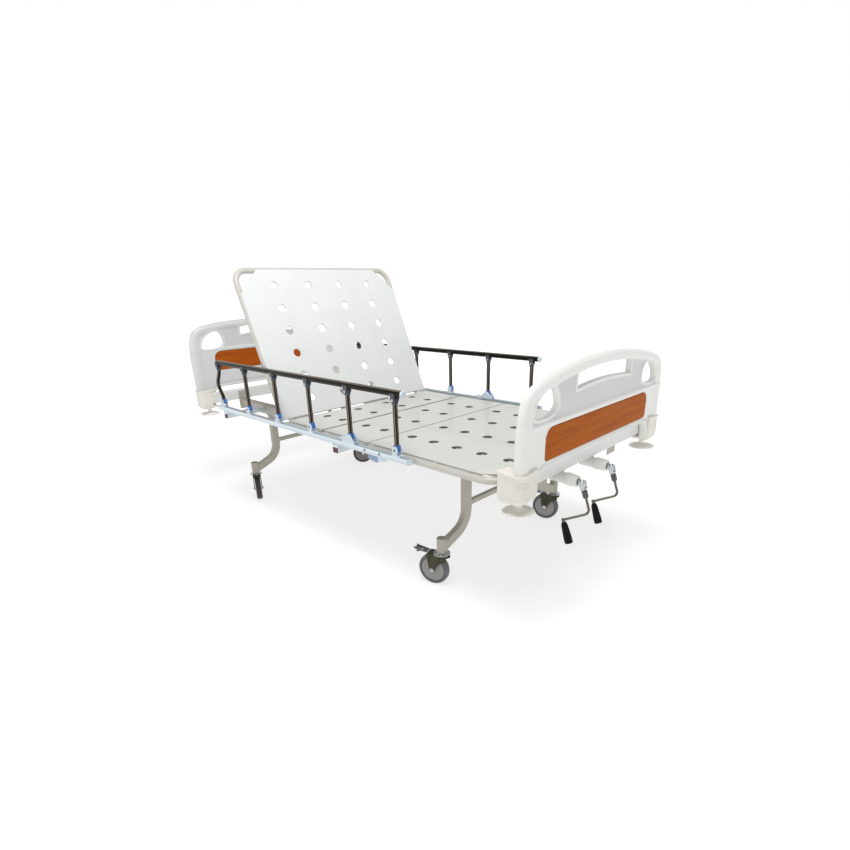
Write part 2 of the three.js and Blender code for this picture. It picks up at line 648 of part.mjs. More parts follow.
function crankHousings() {
  const parts = Object.values(CRANK_Y).map((y) => {
    const [start, end] = HOUSING_X;
    const profile = [[9.5, start], [17, start], [18.5, 1064], [22, 1072], [20.5, 1096], [17, end], [9.5, end]];
    profile.push(profile[0]);
    return turned(profile, 12).rotateY(Math.PI / 2).translate(0, y, CRANK_Z);
  });
  const plateZ = [END_BEAM_Z[0] - 4.6, END_BEAM_Z[0] - GAP];
  const plate = box([1010, 1046], [CRANK_Y.backrest - 30, CRANK_Y.leg + 30], plateZ);
  const bores = Object.values(CRANK_Y).map((y) => rod(vec(1000, y, CRANK_Z), vec(1120, y, CRANK_Z), 9.5, 12));
  return cut(join(plate, ...parts), ...bores);
}
add('crank_housing', crankHousings(), MATERIAL.board);

// Push tubes slide along X; a slotted fork at the head-side end takes the lever pin.
function pushTube(pinX, y, tubeEnd) {
  const pinZ = FRAME_Z - LEVER_LENGTH * 0.917;
  const cheek = box([pinX - 12, pinX + 40], [4.6, 9.6], [pinZ - 18, CRANK_Z + 9]);
  const slot = roundedRect([pinX - 6.6, pinX + 6.6], [pinZ - 11, pinZ + 17], 6.5);
  const cheeks = SIDES.map((side) => {
    const plate = cut(cheek.clone(), slabY(slot, 0, 15, 2));
    return side > 0 ? plate.translate(0, y, 0) : plate.translate(0, y - 14.2, 0);
  });
  const web = box([pinX + 30, pinX + 42], span(y, 19.2), [CRANK_Z - 12, CRANK_Z + 9]);
  const tube = rod(vec(pinX + 38, y, CRANK_Z), vec(tubeEnd, y, CRANK_Z), PUSH_R, 10);
  const bore = rod(vec(tubeEnd - 190, y, CRANK_Z), vec(tubeEnd + 5, y, CRANK_Z), SPINDLE_R + 1.5, 10);
  return cut(join(tube, web, ...cheeks), bore);
}

const LEVER_REST = { backrest: -LEVER_SWING, leg: -20 };
const PIVOT_X = { backrest: BACKREST_X, leg: THIGH_X };
const TUBE_LENGTH = 330;

for (const [drive, y] of Object.entries(CRANK_Y)) {
  const pinX = PIVOT_X[drive] + LEVER_LENGTH * Math.sin(radians(LEVER_REST[drive]));
  const tubeEnd = pinX + TUBE_LENGTH;
  add(`${drive}_push_tube`, pushTube(pinX, y, tubeEnd), MATERIAL.steel);

  const screw = rod(vec(tubeEnd - 100, y, CRANK_Z), vec(CRANK_X, y, CRANK_Z), SPINDLE_R, 8);
  const ball = new THREE.SphereGeometry(9, 10, 8).translate(CRANK_X, y, CRANK_Z);
  add(`${drive}_spindle`, join(screw, ball), MATERIAL.chrome);

  const hang = new THREE.Group();
  hang.position.set(CRANK_X, y, CRANK_Z);
  hang.rotation.y = -radians(CRANK_LEAN);
  bed.add(hang);
  const yokeEars = SIDES.map((side) => box([-7, 7], span(side * 12, 4), [-22, 6]));
  const sleeve = rod(vec(0, 0, -19), vec(0, 0, -50), 9, 10);
  const socket = rod(vec(0, 0, -30), vec(0, 0, -55), CRANK_ROD_R + 0.6, 8);
  const yoke = cut(join(...yokeEars, box([-7, 7], [-14, 14], [-24, -14]), sleeve), socket);
  add(`${drive}_crank_joint`, yoke, MATERIAL.chrome, hang);

  const away = radians(180 + CRANK_SWEEP);
  const throwEnd = vec(CRANK_THROW * Math.cos(away), CRANK_THROW * Math.sin(away), -CRANK_ARM);
  const bend = vec(0, 0, -CRANK_ARM);
  const gripTop = throwEnd.clone().setZ(-CRANK_ARM - 8);
  const arm = [vec(0, 0, -31), bend, throwEnd];
  const pin = rod(throwEnd.clone().setZ(-CRANK_ARM + 5), gripTop, 6);
  const rodShape = join(sweep(rounded(arm, 14, 4), roundSection(CRANK_ROD_R)), pin);
  add(`${drive}_crank`, rodShape, MATERIAL.steel, hang);

  const top = gripTop.z - GAP;
  const gripProfile = [[0, top - 74], [12, top - 74], [14, top - 69], [10, top - 4], [8, top], [0, top]];
  add(`${drive}_grip`, turned(gripProfile, 12).translate(throwEnd.x, throwEnd.y, 0), MATERIAL.black, hang);
}

// ---------- origin: middle of the footprint, on the floor ----------
const extent = new THREE.Box3().setFromObject(bed, true);
bed.position.set(-(extent.min.x + extent.max.x) / 2, -(extent.min.y + extent.max.y) / 2, -extent.min.z);

export default bed;
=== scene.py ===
"""Looks of a two-crank hospital bed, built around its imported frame.

Metres, +X is the foot end, +Y the right-hand rail, the floor is z = 0. Shapes are drawn in millimetres
in the frame's own axes, and mesh_piece() turns them into metres.
"""
import json
import math

import bmesh
import bpy
import numpy as np
from mathutils import Matrix, Vector


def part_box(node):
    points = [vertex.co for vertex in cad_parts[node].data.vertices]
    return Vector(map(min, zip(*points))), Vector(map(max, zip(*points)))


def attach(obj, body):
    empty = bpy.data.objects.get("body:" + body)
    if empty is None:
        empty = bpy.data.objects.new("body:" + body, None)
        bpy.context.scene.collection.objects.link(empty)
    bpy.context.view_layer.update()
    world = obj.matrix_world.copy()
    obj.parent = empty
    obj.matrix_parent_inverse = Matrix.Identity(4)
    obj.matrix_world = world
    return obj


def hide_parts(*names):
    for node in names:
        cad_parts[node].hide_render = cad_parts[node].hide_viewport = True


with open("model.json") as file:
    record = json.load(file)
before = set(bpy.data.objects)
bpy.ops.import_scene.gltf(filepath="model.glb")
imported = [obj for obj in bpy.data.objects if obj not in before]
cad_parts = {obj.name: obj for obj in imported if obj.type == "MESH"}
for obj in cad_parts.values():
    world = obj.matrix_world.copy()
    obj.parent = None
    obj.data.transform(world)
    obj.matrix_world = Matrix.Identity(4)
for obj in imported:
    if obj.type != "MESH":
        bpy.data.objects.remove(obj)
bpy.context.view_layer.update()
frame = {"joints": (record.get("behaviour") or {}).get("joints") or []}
MM = 0.001
HANDS = {"left": -1, "right": 1}
ENDS = {"head": -1, "foot": 1}
SIDES = (-1, 1)
X, Y, Z = Vector((1, 0, 0)), Vector((0, 1, 0)), Vector((0, 0, 1))


def cad(node):
    """A CAD node's lowest and highest corners, in millimetres."""
    low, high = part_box(node)
    return Vector(low) / MM, Vector(high) / MM


def middle(node):
    low, high = cad(node)
    return (low + high) / 2


# ---------- camera ----------
LENS = 21.88
LENS_SHIFT = (-0.0096, 0.0795)
STAND = (1.8352, -1.6718, 1.0843)
YAW, PITCH, ROLL = (math.radians(angle) for angle in (43.9, 21.91, -1.37))


def set_camera():
    data = bpy.data.cameras.new("camera")
    data.sensor_width = 36
    data.lens = LENS
    data.shift_x, data.shift_y = LENS_SHIFT
    camera = bpy.data.objects.new("camera", data)
    bpy.context.collection.objects.link(camera)
    behind = Vector((math.sin(YAW) * math.cos(PITCH), -math.cos(YAW) * math.cos(PITCH), math.sin(PITCH)))
    across = Vector((math.cos(YAW), math.sin(YAW), 0))
    level = Matrix((across, behind.cross(across), behind)).transposed()
    camera.matrix_world = Matrix.Translation(STAND) @ (level @ Matrix.Rotation(ROLL, 3, "Z")).to_4x4()
    bpy.context.scene.camera = camera


set_camera()


# ---------- materials ----------
def linear(red, green, blue):
    """Screen colour, 0 to 255, as the linear colour that a shader takes."""
    levels = [channel / 255 for channel in (red, green, blue)]
    return tuple(v / 12.92 if v <= 0.04045 else ((v + 0.055) / 1.055) ** 2.4 for v in levels) + (1.0,)


class Nodes:
    """Adds nodes to the node tree of a material or of the world."""

    def __init__(self, owner):
        owner.use_nodes = True
        self.tree = owner.node_tree
        self.coordinates = self.node("ShaderNodeTexCoord").outputs
        self.place = self.coordinates["Object"]

    def link(self, start, end):
        self.tree.links.new(start, end)

    def node(self, kind, **inputs):
        made = self.tree.nodes.new(kind)
        for name, value in inputs.items():
            made.inputs[name].default_value = value
        return made

    def noise(self, scale, stretch=(1, 1, 1), detail=4, rough=0.5):
        mapping = self.node("ShaderNodeMapping", Scale=stretch)
        self.link(self.place, mapping.inputs["Vector"])
        noise = self.node("ShaderNodeTexNoise", Scale=scale, Detail=detail, Roughness=rough)
        self.link(mapping.outputs[0], noise.inputs["Vector"])
        return noise.outputs["Fac"]

    def ramp(self, factor, *stops):
        ramp = self.node("ShaderNodeValToRGB")
        elements = ramp.color_ramp.elements
        while len(elements) < len(stops):
            elements.new(0.5)
        for element, (position, colour) in zip(elements, stops):
            element.position = position
            element.color = colour
        self.link(factor, ramp.inputs["Fac"])
        return ramp.outputs["Color"]

    def axis(self, vector, name):
        axes = self.node("ShaderNodeSeparateXYZ")
        self.link(vector, axes.inputs[0])
        return axes.outputs[name]

    def maths(self, operation, first, second=None):
        """A maths node on an output, and on another output or a number."""
        made = self.node("ShaderNodeMath")
        made.operation = operation
        self.link(first, made.inputs[0])
        if isinstance(second, (int, float)):
            made.inputs[1].default_value = second
        elif second:
            self.link(second, made.inputs[1])
        return made.outputs[0]

    def spread(self, value, low, high, start=0.0, end=1.0):
        """Maps start..end to low..high, and holds the value outside it."""
        limits = {"From Min": start, "From Max": end, "To Min": low, "To Max": high}
        spread = self.node("ShaderNodeMapRange", **limits)
        self.link(value, spread.inputs["Value"])
        return spread.outputs[0]

    def closeness(self, value, centre, near, far):
        """1 where the value is near the centre, and 0 where it is far from it."""
        distance = self.maths("ABSOLUTE", self.maths("SUBTRACT", value, centre))
        return self.spread(distance, 1, 0, near, far)

    def times(self, first, second, share=1.0):
        """One colour multiplied by another."""
        mix = self.node("ShaderNodeMix")
        mix.data_type = "RGBA"
        mix.blend_type = "MULTIPLY"
        mix.inputs["Factor"].default_value = share
        self.link(first, mix.inputs["A"])
        self.link(second, mix.inputs["B"])
        return mix.outputs["Result"]


class Shader(Nodes):
    """A Principled material, coloured and roughened by procedural textures."""

    def __init__(self, name, roughness, metallic=0.0, coat=0.0, specular=0.5):
        self.material = bpy.data.materials.new(name)
        super().__init__(self.material)
        self.surface = self.tree.nodes["Principled BSDF"]
        self.surface.inputs["Roughness"].default_value = roughness
        self.surface.inputs["Metallic"].default_value = metallic
        self.surface.inputs["Coat Weight"].default_value = coat
        self.surface.inputs["Specular IOR Level"].default_value = specular

    def colour(self, output):
        self.link(output, self.surface.inputs["Base Color"])

    def drift(self, factor, rgb, shade, start, end):
        """Base colour that runs from a darker shade up to the full tone."""
        dark = linear(*(channel * shade for channel in rgb))
        self.colour(self.ramp(factor, (start, dark), (end, linear(*rgb))))

    def rough(self, factor, low, high):
        self.link(self.spread(factor, low, high), self.surface.inputs["Roughness"])

    def bump(self, factor, depth):
        bump = self.node("ShaderNodeBump", Distance=depth)
        self.link(factor, bump.inputs["Height"])
        self.link(bump.outputs[0], self.surface.inputs["Normal"])


def moulded(name, rgb, roughness, shade=0.975, grain=420, depth=0.00004, specular=0.5):
    """Moulded plastic: faint cloudy tone and a fine spark-eroded grain."""
    shader = Shader(name, roughness, specular=specular)
    shader.drift(shader.noise(5, detail=6), rgb, shade, 0.3, 0.62)
    shader.rough(shader.noise(60), roughness - 0.05, roughness + 0.07)
    shader.bump(shader.noise(grain, detail=2), depth)
    return shader.material


def board_plastic(name, rim, web, centre):
    """Blow-moulded board: the flat of its recessed web gets a darker tone than the rim, ridges and window
    edges, painted shade under the rim's overhang.
    """
    shader = Shader(name, 0.3)
    deep = shader.closeness(shader.axis(shader.place, "X"), centre * MM, 9 * MM, 12 * MM)
    sloping = shader.closeness(shader.axis(shader.coordinates["Normal"], "X"), 0, 0.93, 0.75)
    # Painted shade: darkens the flat of the web that faces along X, where the rim's shadow falls.
    recessed = shader.maths("MULTIPLY", deep, sloping)
    cloud = shader.ramp(shader.noise(5, detail=6), (0.3, (0.97, 0.97, 0.97, 1)), (0.62, (1, 1, 1, 1)))
    tone = shader.ramp(recessed, (0, linear(*rim)), (1, linear(*web)))
    shader.colour(shader.times(tone, cloud))
    shader.rough(shader.noise(60), 0.24, 0.36)
    return shader.material


def powder_coat(name, rgb):
    """Powder coat: an orange-peel surface with slight drift in tone."""
    shader = Shader(name, 0.42, coat=0.15)
    shader.drift(shader.noise(7, detail=8, rough=0.6), rgb, 0.985, 0.35, 0.6)
    shader.rough(shader.noise(90), 0.36, 0.52)
    shader.bump(shader.noise(260, detail=3), 0.00006)
    return shader.material


def drawn_metal(name, rgb, roughness, shade, stretch=(1, 1, 1), scale=160):
    """Metal drawn, brushed or rolled: fine streaks in tone, gloss and height, long along a stretched axis."""
    shader = Shader(name, roughness, metallic=1.0)
    streaks = shader.noise(scale, stretch=stretch, detail=6, rough=0.65)
    shader.drift(streaks, rgb, shade, 0.3, 0.65)
    shader.rough(streaks, roughness - 0.07, roughness + 0.12)
    shader.bump(streaks, 0.00002)
    return shader.material


def wood_insert(name, tone):
    """Wood-look laminate: long wavy figure along Y, fine pores and a satin lacquer."""
    shader = Shader(name, 0.5, specular=0.08)
    figure = shader.noise(9, stretch=(1, 0.4, 6.5), detail=9, rough=0.6)
    tones = ((0.28, 0.9, 0.86), (0.46, 1, 1), (0.6, 1.05, 1.1), (0.76, 0.95, 0.93))
    stops = [(at, linear(tone[0] * red, tone[1] * green, tone[2] * green)) for at, red, green in tones]
    board = shader.ramp(figure, *stops)
    pores = shader.noise(38, stretch=(1, 0.5, 14), detail=5)
    shade = shader.ramp(pores, (0.34, (0.86, 0.8, 0.74, 1)), (0.5, (1, 1, 1, 1)))
    shader.colour(shader.times(board, shade, 0.8))
    shader.bump(pores, 0.00005)
    return shader.material


BUMPER = moulded("bumper_ivory", (223, 219, 211), 0.36)
# The discs take a lighter copy of the bumper ivory: painted light against the shade under the bumpers.
LIT_DISC = moulded("disc_ivory_lightened", (238, 236, 229), 0.36)
HOUSING_PLASTIC = moulded("housing_ivory", (216, 217, 212), 0.4)
# The headboard's laminate is a darker copy of the footboard's: painted shade for the dimmer head end.
WOOD = {
    "head": wood_insert("wood_laminate_shaded_head", (160, 76, 14)),
    "foot": wood_insert("wood_laminate", (164, 82, 5)),
}
DECK = powder_coat("deck_coat", (204, 205, 200))
BACK_DECK = powder_coat("back_coat", (215, 217, 216))
# Dark coat for the deck's hole collars: painted shade inside the holes.
HOLE_SHADE = powder_coat("hole_shade_coat", (108, 106, 98))
FRAME = powder_coat("frame_coat", (190, 187, 180))
LEG = powder_coat("leg_coat", (166, 161, 150))
END_BEAM = powder_coat("end_beam_coat", (216, 217, 214))
RAIL_BAR_METAL = drawn_metal("rail_bar_aluminium", (216, 227, 233), 0.34, 0.92, stretch=(0.03, 1, 1))
RAIL_STEEL = drawn_metal("rail_tube_steel", (44, 40, 36), 0.3, 0.8)
# Lighter steel for the post ridges and top rail ribs: painted reflection lines on the dark tubes.
RAIL_HIGHLIGHT = drawn_metal("rail_highlight_steel", (168, 160, 148), 0.34, 0.86)
CHROME = drawn_metal("chrome", (196, 200, 204), 0.12, 0.92, scale=40)
STEEL = drawn_metal("crank_steel", (112, 107, 100), 0.3, 0.76)
FORK = drawn_metal("fork_zinc", (78, 78, 64), 0.38, 0.72, stretch=(1, 1, 0.4), scale=60)
PEDAL = drawn_metal("pedal_steel", (126, 130, 134), 0.36, 0.8)
PIVOT_BLUE = moulded("pivot_blue", (58, 112, 190), 0.34)
PIVOT_WHITE = moulded("pivot_white", (204, 216, 225), 0.34)
CLAMP = moulded("clamp_grey", (66, 72, 80), 0.36, shade=0.85)
LATCH = moulded("latch_grey_blue", (138, 156, 182), 0.38)
BLACK = moulded("grip_black", (8, 8, 9), 0.5, shade=0.7, depth=0.00012, grain=160, specular=0.16)
RUBBER_GRAIN = 0.0001
TYRE = moulded("tyre_rubber", (44, 45, 48), 0.62, shade=0.85, depth=RUBBER_GRAIN)
# The head casters' tread and hub are darker copies of the foot ones: painted shade under the head end of the
# bed.
TREAD = {
    "head": moulded("tread_rubber_shaded_head", (52, 48, 46), 0.6, shade=0.88, depth=RUBBER_GRAIN),
    "foot": moulded("tread_rubber", (98, 99, 102), 0.6, shade=0.88, depth=RUBBER_GRAIN),
}
HUB = {
    "head": moulded("hub_grey_shaded_head", (118, 112, 106), 0.45),
    "foot": moulded("hub_grey", (146, 143, 141), 0.45),
}
RED = moulded("end_cap_red", (90, 44, 48), 0.5)


# ---------- shapes: pairs of a vertex array and a face list, in millimetres ----------
def joined(*shapes):
    """Several shapes as one."""
    vertices, faces = [], []
    count = 0
    for points, loops in shapes:
        vertices.append(np.asarray(points, float))
        faces += [[count + i for i in loop] for loop in loops]
        count += len(points)
    return np.vstack(vertices), faces


def placed(shape, matrix):
    points, faces = shape
    full = np.array(matrix)
    return np.asarray(points) @ full[:3, :3].T + full[:3, 3], faces


def moved(shape, x=0.0, y=0.0, z=0.0):
    return placed(shape, Matrix.Translation((x, y, z)))


def spun(shape, angle, axis="Z"):
    return placed(shape, Matrix.Rotation(math.radians(angle), 4, axis))


def circle(radius, count=28):
    angles = np.arange(count) * 2 * np.pi / count
    return np.column_stack((radius * np.cos(angles), radius * np.sin(angles)))


def rounded_rect(width, height, radius, steps=4):
    corners = []
    for quarter, (sx, sy) in enumerate(((1, 1), (-1, 1), (-1, -1), (1, -1))):
        for k in range(steps + 1):
            angle = math.pi / 2 * (quarter + k / steps)
            x = sx * (width / 2 - radius) + radius * math.cos(angle)
            y = sy * (height / 2 - radius) + radius * math.sin(angle)
            corners.append((x, y))
    return np.array(corners)


def outline(start, *moves, steps=10):
    """A ring of points. A move is a point, or a list of Bezier controls that ends in a point."""
    ring = [np.array(start, float)]
    for move in moves:
        if not isinstance(move, list):
            ring.append(np.array(move, float))
            continue
        controls = [ring[-1], *(np.array(point, float) for point in move)]
        for k in range(1, steps + 1):
            level_points = controls
            while len(level_points) > 1:
                pairs = zip(level_points, level_points[1:])
                level_points = [a + (b - a) * k / steps for a, b in pairs]
            ring.append(level_points[0])
    return np.array(ring)


def both_sides(half):
    """A ring from its half on one side of x = 0 and that half's reflection."""
    return np.vstack((half, half[::-1] * (-1, 1)))


def fillet(corners, radius, steps=8):
    """A polyline whose inner corners are turned into arcs."""
    corners = [Vector(corner) for corner in corners]
    path = [corners[0]]
    for before, corner, after in zip(corners, corners[1:], corners[2:]):
        back, ahead = (before - corner).normalized(), (after - corner).normalized()
        half = back.angle(ahead) / 2
        centre = corner + (back + ahead).normalized() * radius / math.sin(half)
        start = corner + back * radius / math.tan(half) - centre
        end = corner + ahead * radius / math.tan(half) - centre
        path += [start.slerp(end, k / steps) * radius + centre for k in range(steps + 1)]
    return [*path, corners[-1]]


def sweep(path, section, normal, closed=False):
    """Carries a section along a flat path. Section x lies across the path, section y along the normal."""
    points = np.array([tuple(point) for point in path], float)
    normal = np.array(normal, float)
    if closed:
        along = np.roll(points, -1, axis=0) - np.roll(points, 1, axis=0)
    else:
        along = np.gradient(points, axis=0)
    along /= np.linalg.norm(along, axis=1)[:, None]
    side = np.cross(along, normal)
    section = np.asarray(section)
    rings = points[:, None] + side[:, None] * section[None, :, :1] + normal * section[None, :, 1:]
    count, size = len(points), len(section)
    faces = []
    for i in range(count if closed else count - 1):
        a, b = i * size, (i + 1) % count * size
        faces += [[a + k, a + (k + 1) % size, b + (k + 1) % size, b + k] for k in range(size)]
    if not closed:
        faces += [list(range(size))[::-1], [(count - 1) * size + k for k in range(size)]]
    return rings.reshape(-1, 3), faces


def both_ways(half):
    """A profile and then its reflection in z = 0."""
    return half + [(radius, -z) for radius, z in reversed(half)]


def lathe(profile, sides=40):
    """Turns a list of (radius, height) about Z. Ends on the axis close the shape."""
    angles = np.arange(sides) * 2 * np.pi / sides
    rings = [[(r * math.cos(a), r * math.sin(a), z) for a in angles] for r, z in profile]
    faces = []
    for i in range(len(profile) - 1):
        for k in range(sides):
            n = (k + 1) % sides
            faces.append([i * sides + k, i * sides + n, (i + 1) * sides + n, (i + 1) * sides + k])
    return np.array(rings).reshape(-1, 3), faces


def tube(start, end, radius, sides=28, ends=1.2):
    """A straight round bar with eased ends."""
    start = Vector(start)
    along = Vector(end) - start
    half = along.length / 2
    profile = both_ways([(0, -half), (radius - ends, -half), (radius, ends - half)])
    turn = Z.rotation_difference(along).to_matrix().to_4x4()
    return placed(lathe(profile, sides), Matrix.Translation(start + along / 2) @ turn)


def slab(ring, thickness, holes=(), bevel=1.0):
    """A plate with rounded edges: its outline in x and y, its thickness about z = 0."""
    curve = bpy.data.curves.new("slab", "CURVE")
    curve.dimensions = "2D"
    curve.fill_mode = "BOTH"
    for loop in (ring, *holes):
        spline = curve.splines.new("POLY")
        spline.points.add(len(loop) - 1)
        flat = np.column_stack((loop, np.zeros(len(loop)), np.ones(len(loop))))
        spline.points.foreach_set("co", flat.ravel())
        spline.use_cyclic_u = True
    curve.extrude = thickness / 2 - bevel
    curve.bevel_depth = bevel
    curve.bevel_resolution = 2
    curve.offset = -bevel
    holder = bpy.data.objects.new("slab", curve)
    mesh = bpy.data.meshes.new_from_object(holder)
    points = np.array([vertex.co for vertex in mesh.vertices])
    faces = [list(polygon.vertices) for polygon in mesh.polygons]
    bpy.data.meshes.remove(mesh)
    bpy.data.objects.remove(holder)
    bpy.data.curves.remove(curve)
    return points, faces


XZ = Matrix(((1, 0, 0, 0), (0, 0, -1, 0), (0, 1, 0, 0), (0, 0, 0, 1)))
YZ = Matrix(((0, 0, 1, 0), (1, 0, 0, 0), (0, 1, 0, 0), (0, 0, 0, 1)))


def stood(plane, ring, thickness, at=(0, 0, 0), bevel=1.0, holes=()):
    """A slab stood on edge: its outline lies in the XZ or YZ plane about a point."""
    return moved(placed(slab(ring, thickness, holes, bevel), plane), *at)


def cheeks(ring, thickness, at, spread, bevel=1.0, holes=()):
    """Two plates that face each other across Y, each a spread away from a point."""
    plates = (stood(XZ, ring, thickness, Vector(at) + Y * side * spread, bevel, holes) for side in SIDES)
    return joined(*plates)


def faced(shape, side, at):
    """A turned shape whose top faces out along Y, at a point."""
    return moved(spun(shape, -90 * side, "X"), *at)


def soft_box(low, high, bevel=1.5):
    """A block with rounded edges, as a slab standing on its long side."""
    low, high = Vector(low), Vector(high)
    size = high - low
    radius = min(bevel, min(size) / 2.2)
    ring = rounded_rect(size.x, size.y, radius, 3)
    return moved(slab(ring, size.z, bevel=radius * 0.9), *((low + high) / 2))


def mesh_piece(name, shape, material, body, *covers, slot=None, net=False):
    """A finished piece in metres, riding on a body, standing for the CAD nodes that it covers.

    The slot argument is not used. A surface net has few sharp edges.
    """
    points, faces = shape
    mesh = bpy.data.meshes.new(name)
    mesh.from_pydata((np.asarray(points) * MM).tolist(), [], faces)
    edit = bmesh.new()
    edit.from_mesh(mesh)
    bmesh.ops.remove_doubles(edit, verts=edit.verts, dist=0.00001)
    bmesh.ops.dissolve_degenerate(edit, edges=edit.edges, dist=0.00001)
    bmesh.ops.recalc_face_normals(edit, faces=edit.faces)
    edit.to_mesh(mesh)
    edit.free()
    mesh.shade_smooth()
    mesh.set_sharp_from_angle(angle=math.radians(80 if net else 38))
    mesh.materials.append(material)
    piece = bpy.data.objects.new(name, mesh)
    bpy.context.collection.objects.link(piece)
    if not net:
        piece.modifiers.new("even shading", "WEIGHTED_NORMAL").keep_sharp = True
    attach(piece, body)
    if covers:
        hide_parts(*covers)


# ---------- moulded shapes: a distance field turned into a mesh ----------
def ring_distance(ring, y, z):
    """Signed distance to a closed ring, negative inside."""
    distance = np.full(y.shape, np.inf)
    inside = np.zeros(y.shape, bool)
    for (y0, z0), (y1, z1) in zip(ring, np.roll(ring, -1, axis=0)):
        dy, dz = y1 - y0, z1 - z0
        along = np.clip(((y - y0) * dy + (z - z0) * dz) / max(dy * dy + dz * dz, 1e-9), 0, 1)
        distance = np.minimum(distance, np.hypot(y - y0 - along * dy, z - z0 - along * dz))
        if dz:
            inside ^= ((z0 > z) != (z1 > z)) & (y < y0 + (z - z0) * dy / dz)
    return np.where(inside, -distance, distance)


def round_both(a, b, radius):
    """Intersection of two fields with a rounded edge."""
    corner = np.hypot(np.maximum(a + radius, 0), np.maximum(b + radius, 0))
    return np.minimum(np.maximum(a, b), -radius) + corner


def soft_either(a, b, radius):
    """Union of two fields with a fillet between them."""
    share = np.clip(0.5 + 0.5 * (b - a) / radius, 0, 1)
    return b + (a - b) * share - radius * share * (1 - share)


def bump_at(value, centre, width):
    """A smooth bump of height 1."""
    return np.exp(-(((value - centre) / width) ** 2))


def ease(value, low, high):
    """Smooth step from 0 at low to 1 at high."""
    t = np.clip((value - low) / (high - low), 0, 1)
    return t * t * (3 - 2 * t)


def surface(field, low, high, step):
    """Surface net of field(x, y, z) < 0 over a box: one vertex in each cell that the surface crosses."""
    axes = [np.arange(a, b + step, step) for a, b in zip(low, high)]
    values = field(*np.meshgrid(*axes, indexing="ij"))
    inside = values < 0
    cells = tuple(n - 1 for n in values.shape)
    offsets = [(i, j, k) for i in (0, 1) for j in (0, 1) for k in (0, 1)]

    def corner(array, offset):
        return array[tuple(slice(o, o + n) for o, n in zip(offset, cells))]

    total = np.zeros(cells + (3,))
    crossings = np.zeros(cells)
    for a in offsets:
        for axis in range(3):
            if a[axis]:
                continue
            b = tuple(o + (i == axis) for i, o in enumerate(a))
            va, vb = corner(values, a), corner(values, b)
            cross = corner(inside, a) != corner(inside, b)
            share = np.where(cross, va / np.where(cross, va - vb, 1), 0)
            for i in range(3):
                total[..., i] += cross * (a[i] + (share if i == axis else 0))
            crossings += cross
    used = crossings > 0
    number = np.full(cells, -1)
    number[used] = np.arange(used.sum())
    index = np.stack(np.nonzero(used), axis=1)
    points = (index + total[used] / crossings[used][:, None]) * step + [axis[0] for axis in axes]
    faces = []
    for axis in range(3):
        u, v = [i for i in range(3) if i != axis]
        lead = [slice(None)] * 3
        lead[axis] = slice(0, -1)
        lag = [slice(None)] * 3
        lag[axis] = slice(1, None)
        first, second = inside[tuple(lead)], inside[tuple(lag)]
        for places, flip in ((first & ~second, axis == 1), (~first & second, axis != 1)):
            at = np.stack(np.nonzero(places), axis=1)
            at = at[((at[:, [u, v]] > 0) & (at[:, [u, v]] < np.array(cells)[[u, v]])).all(axis=1)]
            loop = []
            for du, dv in ((-1, -1), (0, -1), (0, 0), (-1, 0)):
                cell = at.copy()
                cell[:, u] += du
                cell[:, v] += dv
                loop.append(number[tuple(cell.T)])
            quads = np.stack(loop[::-1] if flip else loop, axis=1)
            faces += quads.tolist()
    return points, faces


# ---------- end boards ----------
BOARD_HALF = 497
BOARD_FOOT = 482
BOARD = {
    "head": dict(crown=930, shoulder=890, arch=572, insert=(664, 766), oval=(779, 877), slot=(855, 898)),
    "foot": dict(crown=870, shoulder=806, arch=556, insert=(577, 681), oval=(714, 803), slot=(783, 832)),
}
BOARD_NODE = {"head": "headboard", "foot": "footboard"}
BOARD_HALF_THICK = 17
WEB_HALF = 8
INSERT_HALF = 365
HANDLE_HALF = 190
INSERT_THICK = 26
BOARD_STEP, BUMPER_STEP = 3.5, 2.2
# Rim and web tones of each board. The web tone is painted shade in the recess; the headboard's darker pair is
# painted shade for its dimmer end.
BOARD_TONE_AND_SHADE = {"head": ((206, 207, 206), (196, 197, 196)), "foot": ((225, 225, 221), (201, 202, 200))}


def board_rim(crown, shoulder, bottom):
    """The board's outer contour, carried straight down to the given bottom."""
    half = BOARD_HALF - 0.5
    return both_sides(outline(
        (half, bottom),
        (half, shoulder - 190),
        [(half, shoulder - 70), (half - 12, shoulder - 20), (half - 50, shoulder)],
        [(half - 110, shoulder + 32), (190, crown), (0, crown)],
        steps=16,
    ))


def board_arch(arch):
    return both_sides(outline((402, BOARD_FOOT - 60), (402, arch - 60), [(402, arch), (345, arch)]))


def oval_window(side, low, high):
    centre = (low + high) / 2
    return outline(
        (side * 300, low + 30),
        [(side * 302, high - 18), (side * 330, high - 6)],
        [(side * 360, high), (side * 425, centre + 20), (side * 428, low + 12)],
        [(side * 428, low - 4), (side * 302, low - 6), (side * 300, low + 30)],
    )


def handle_window(low, high):
    half = HANDLE_HALF
    return outline(
        (-half, low - 8),
        [(0, low + 14), (half, low - 8)],
        (half, high - 12),
        [(0, high + 12), (-half, high - 12)],
        steps=16,
    )


def insert_ring(insert, inset=0.0):
    """Rounded rectangle with wider corners at the top."""
    low, high, half = insert[0] + inset, insert[1] - inset, INSERT_HALF - inset
    top, base = 46 - inset, 19 - inset
    return both_sides(outline(
        (half - base, low),
        [(half, low), (half, low + base)],
        (half, high - top),
        [(half, high), (half - top, high)],
    ))


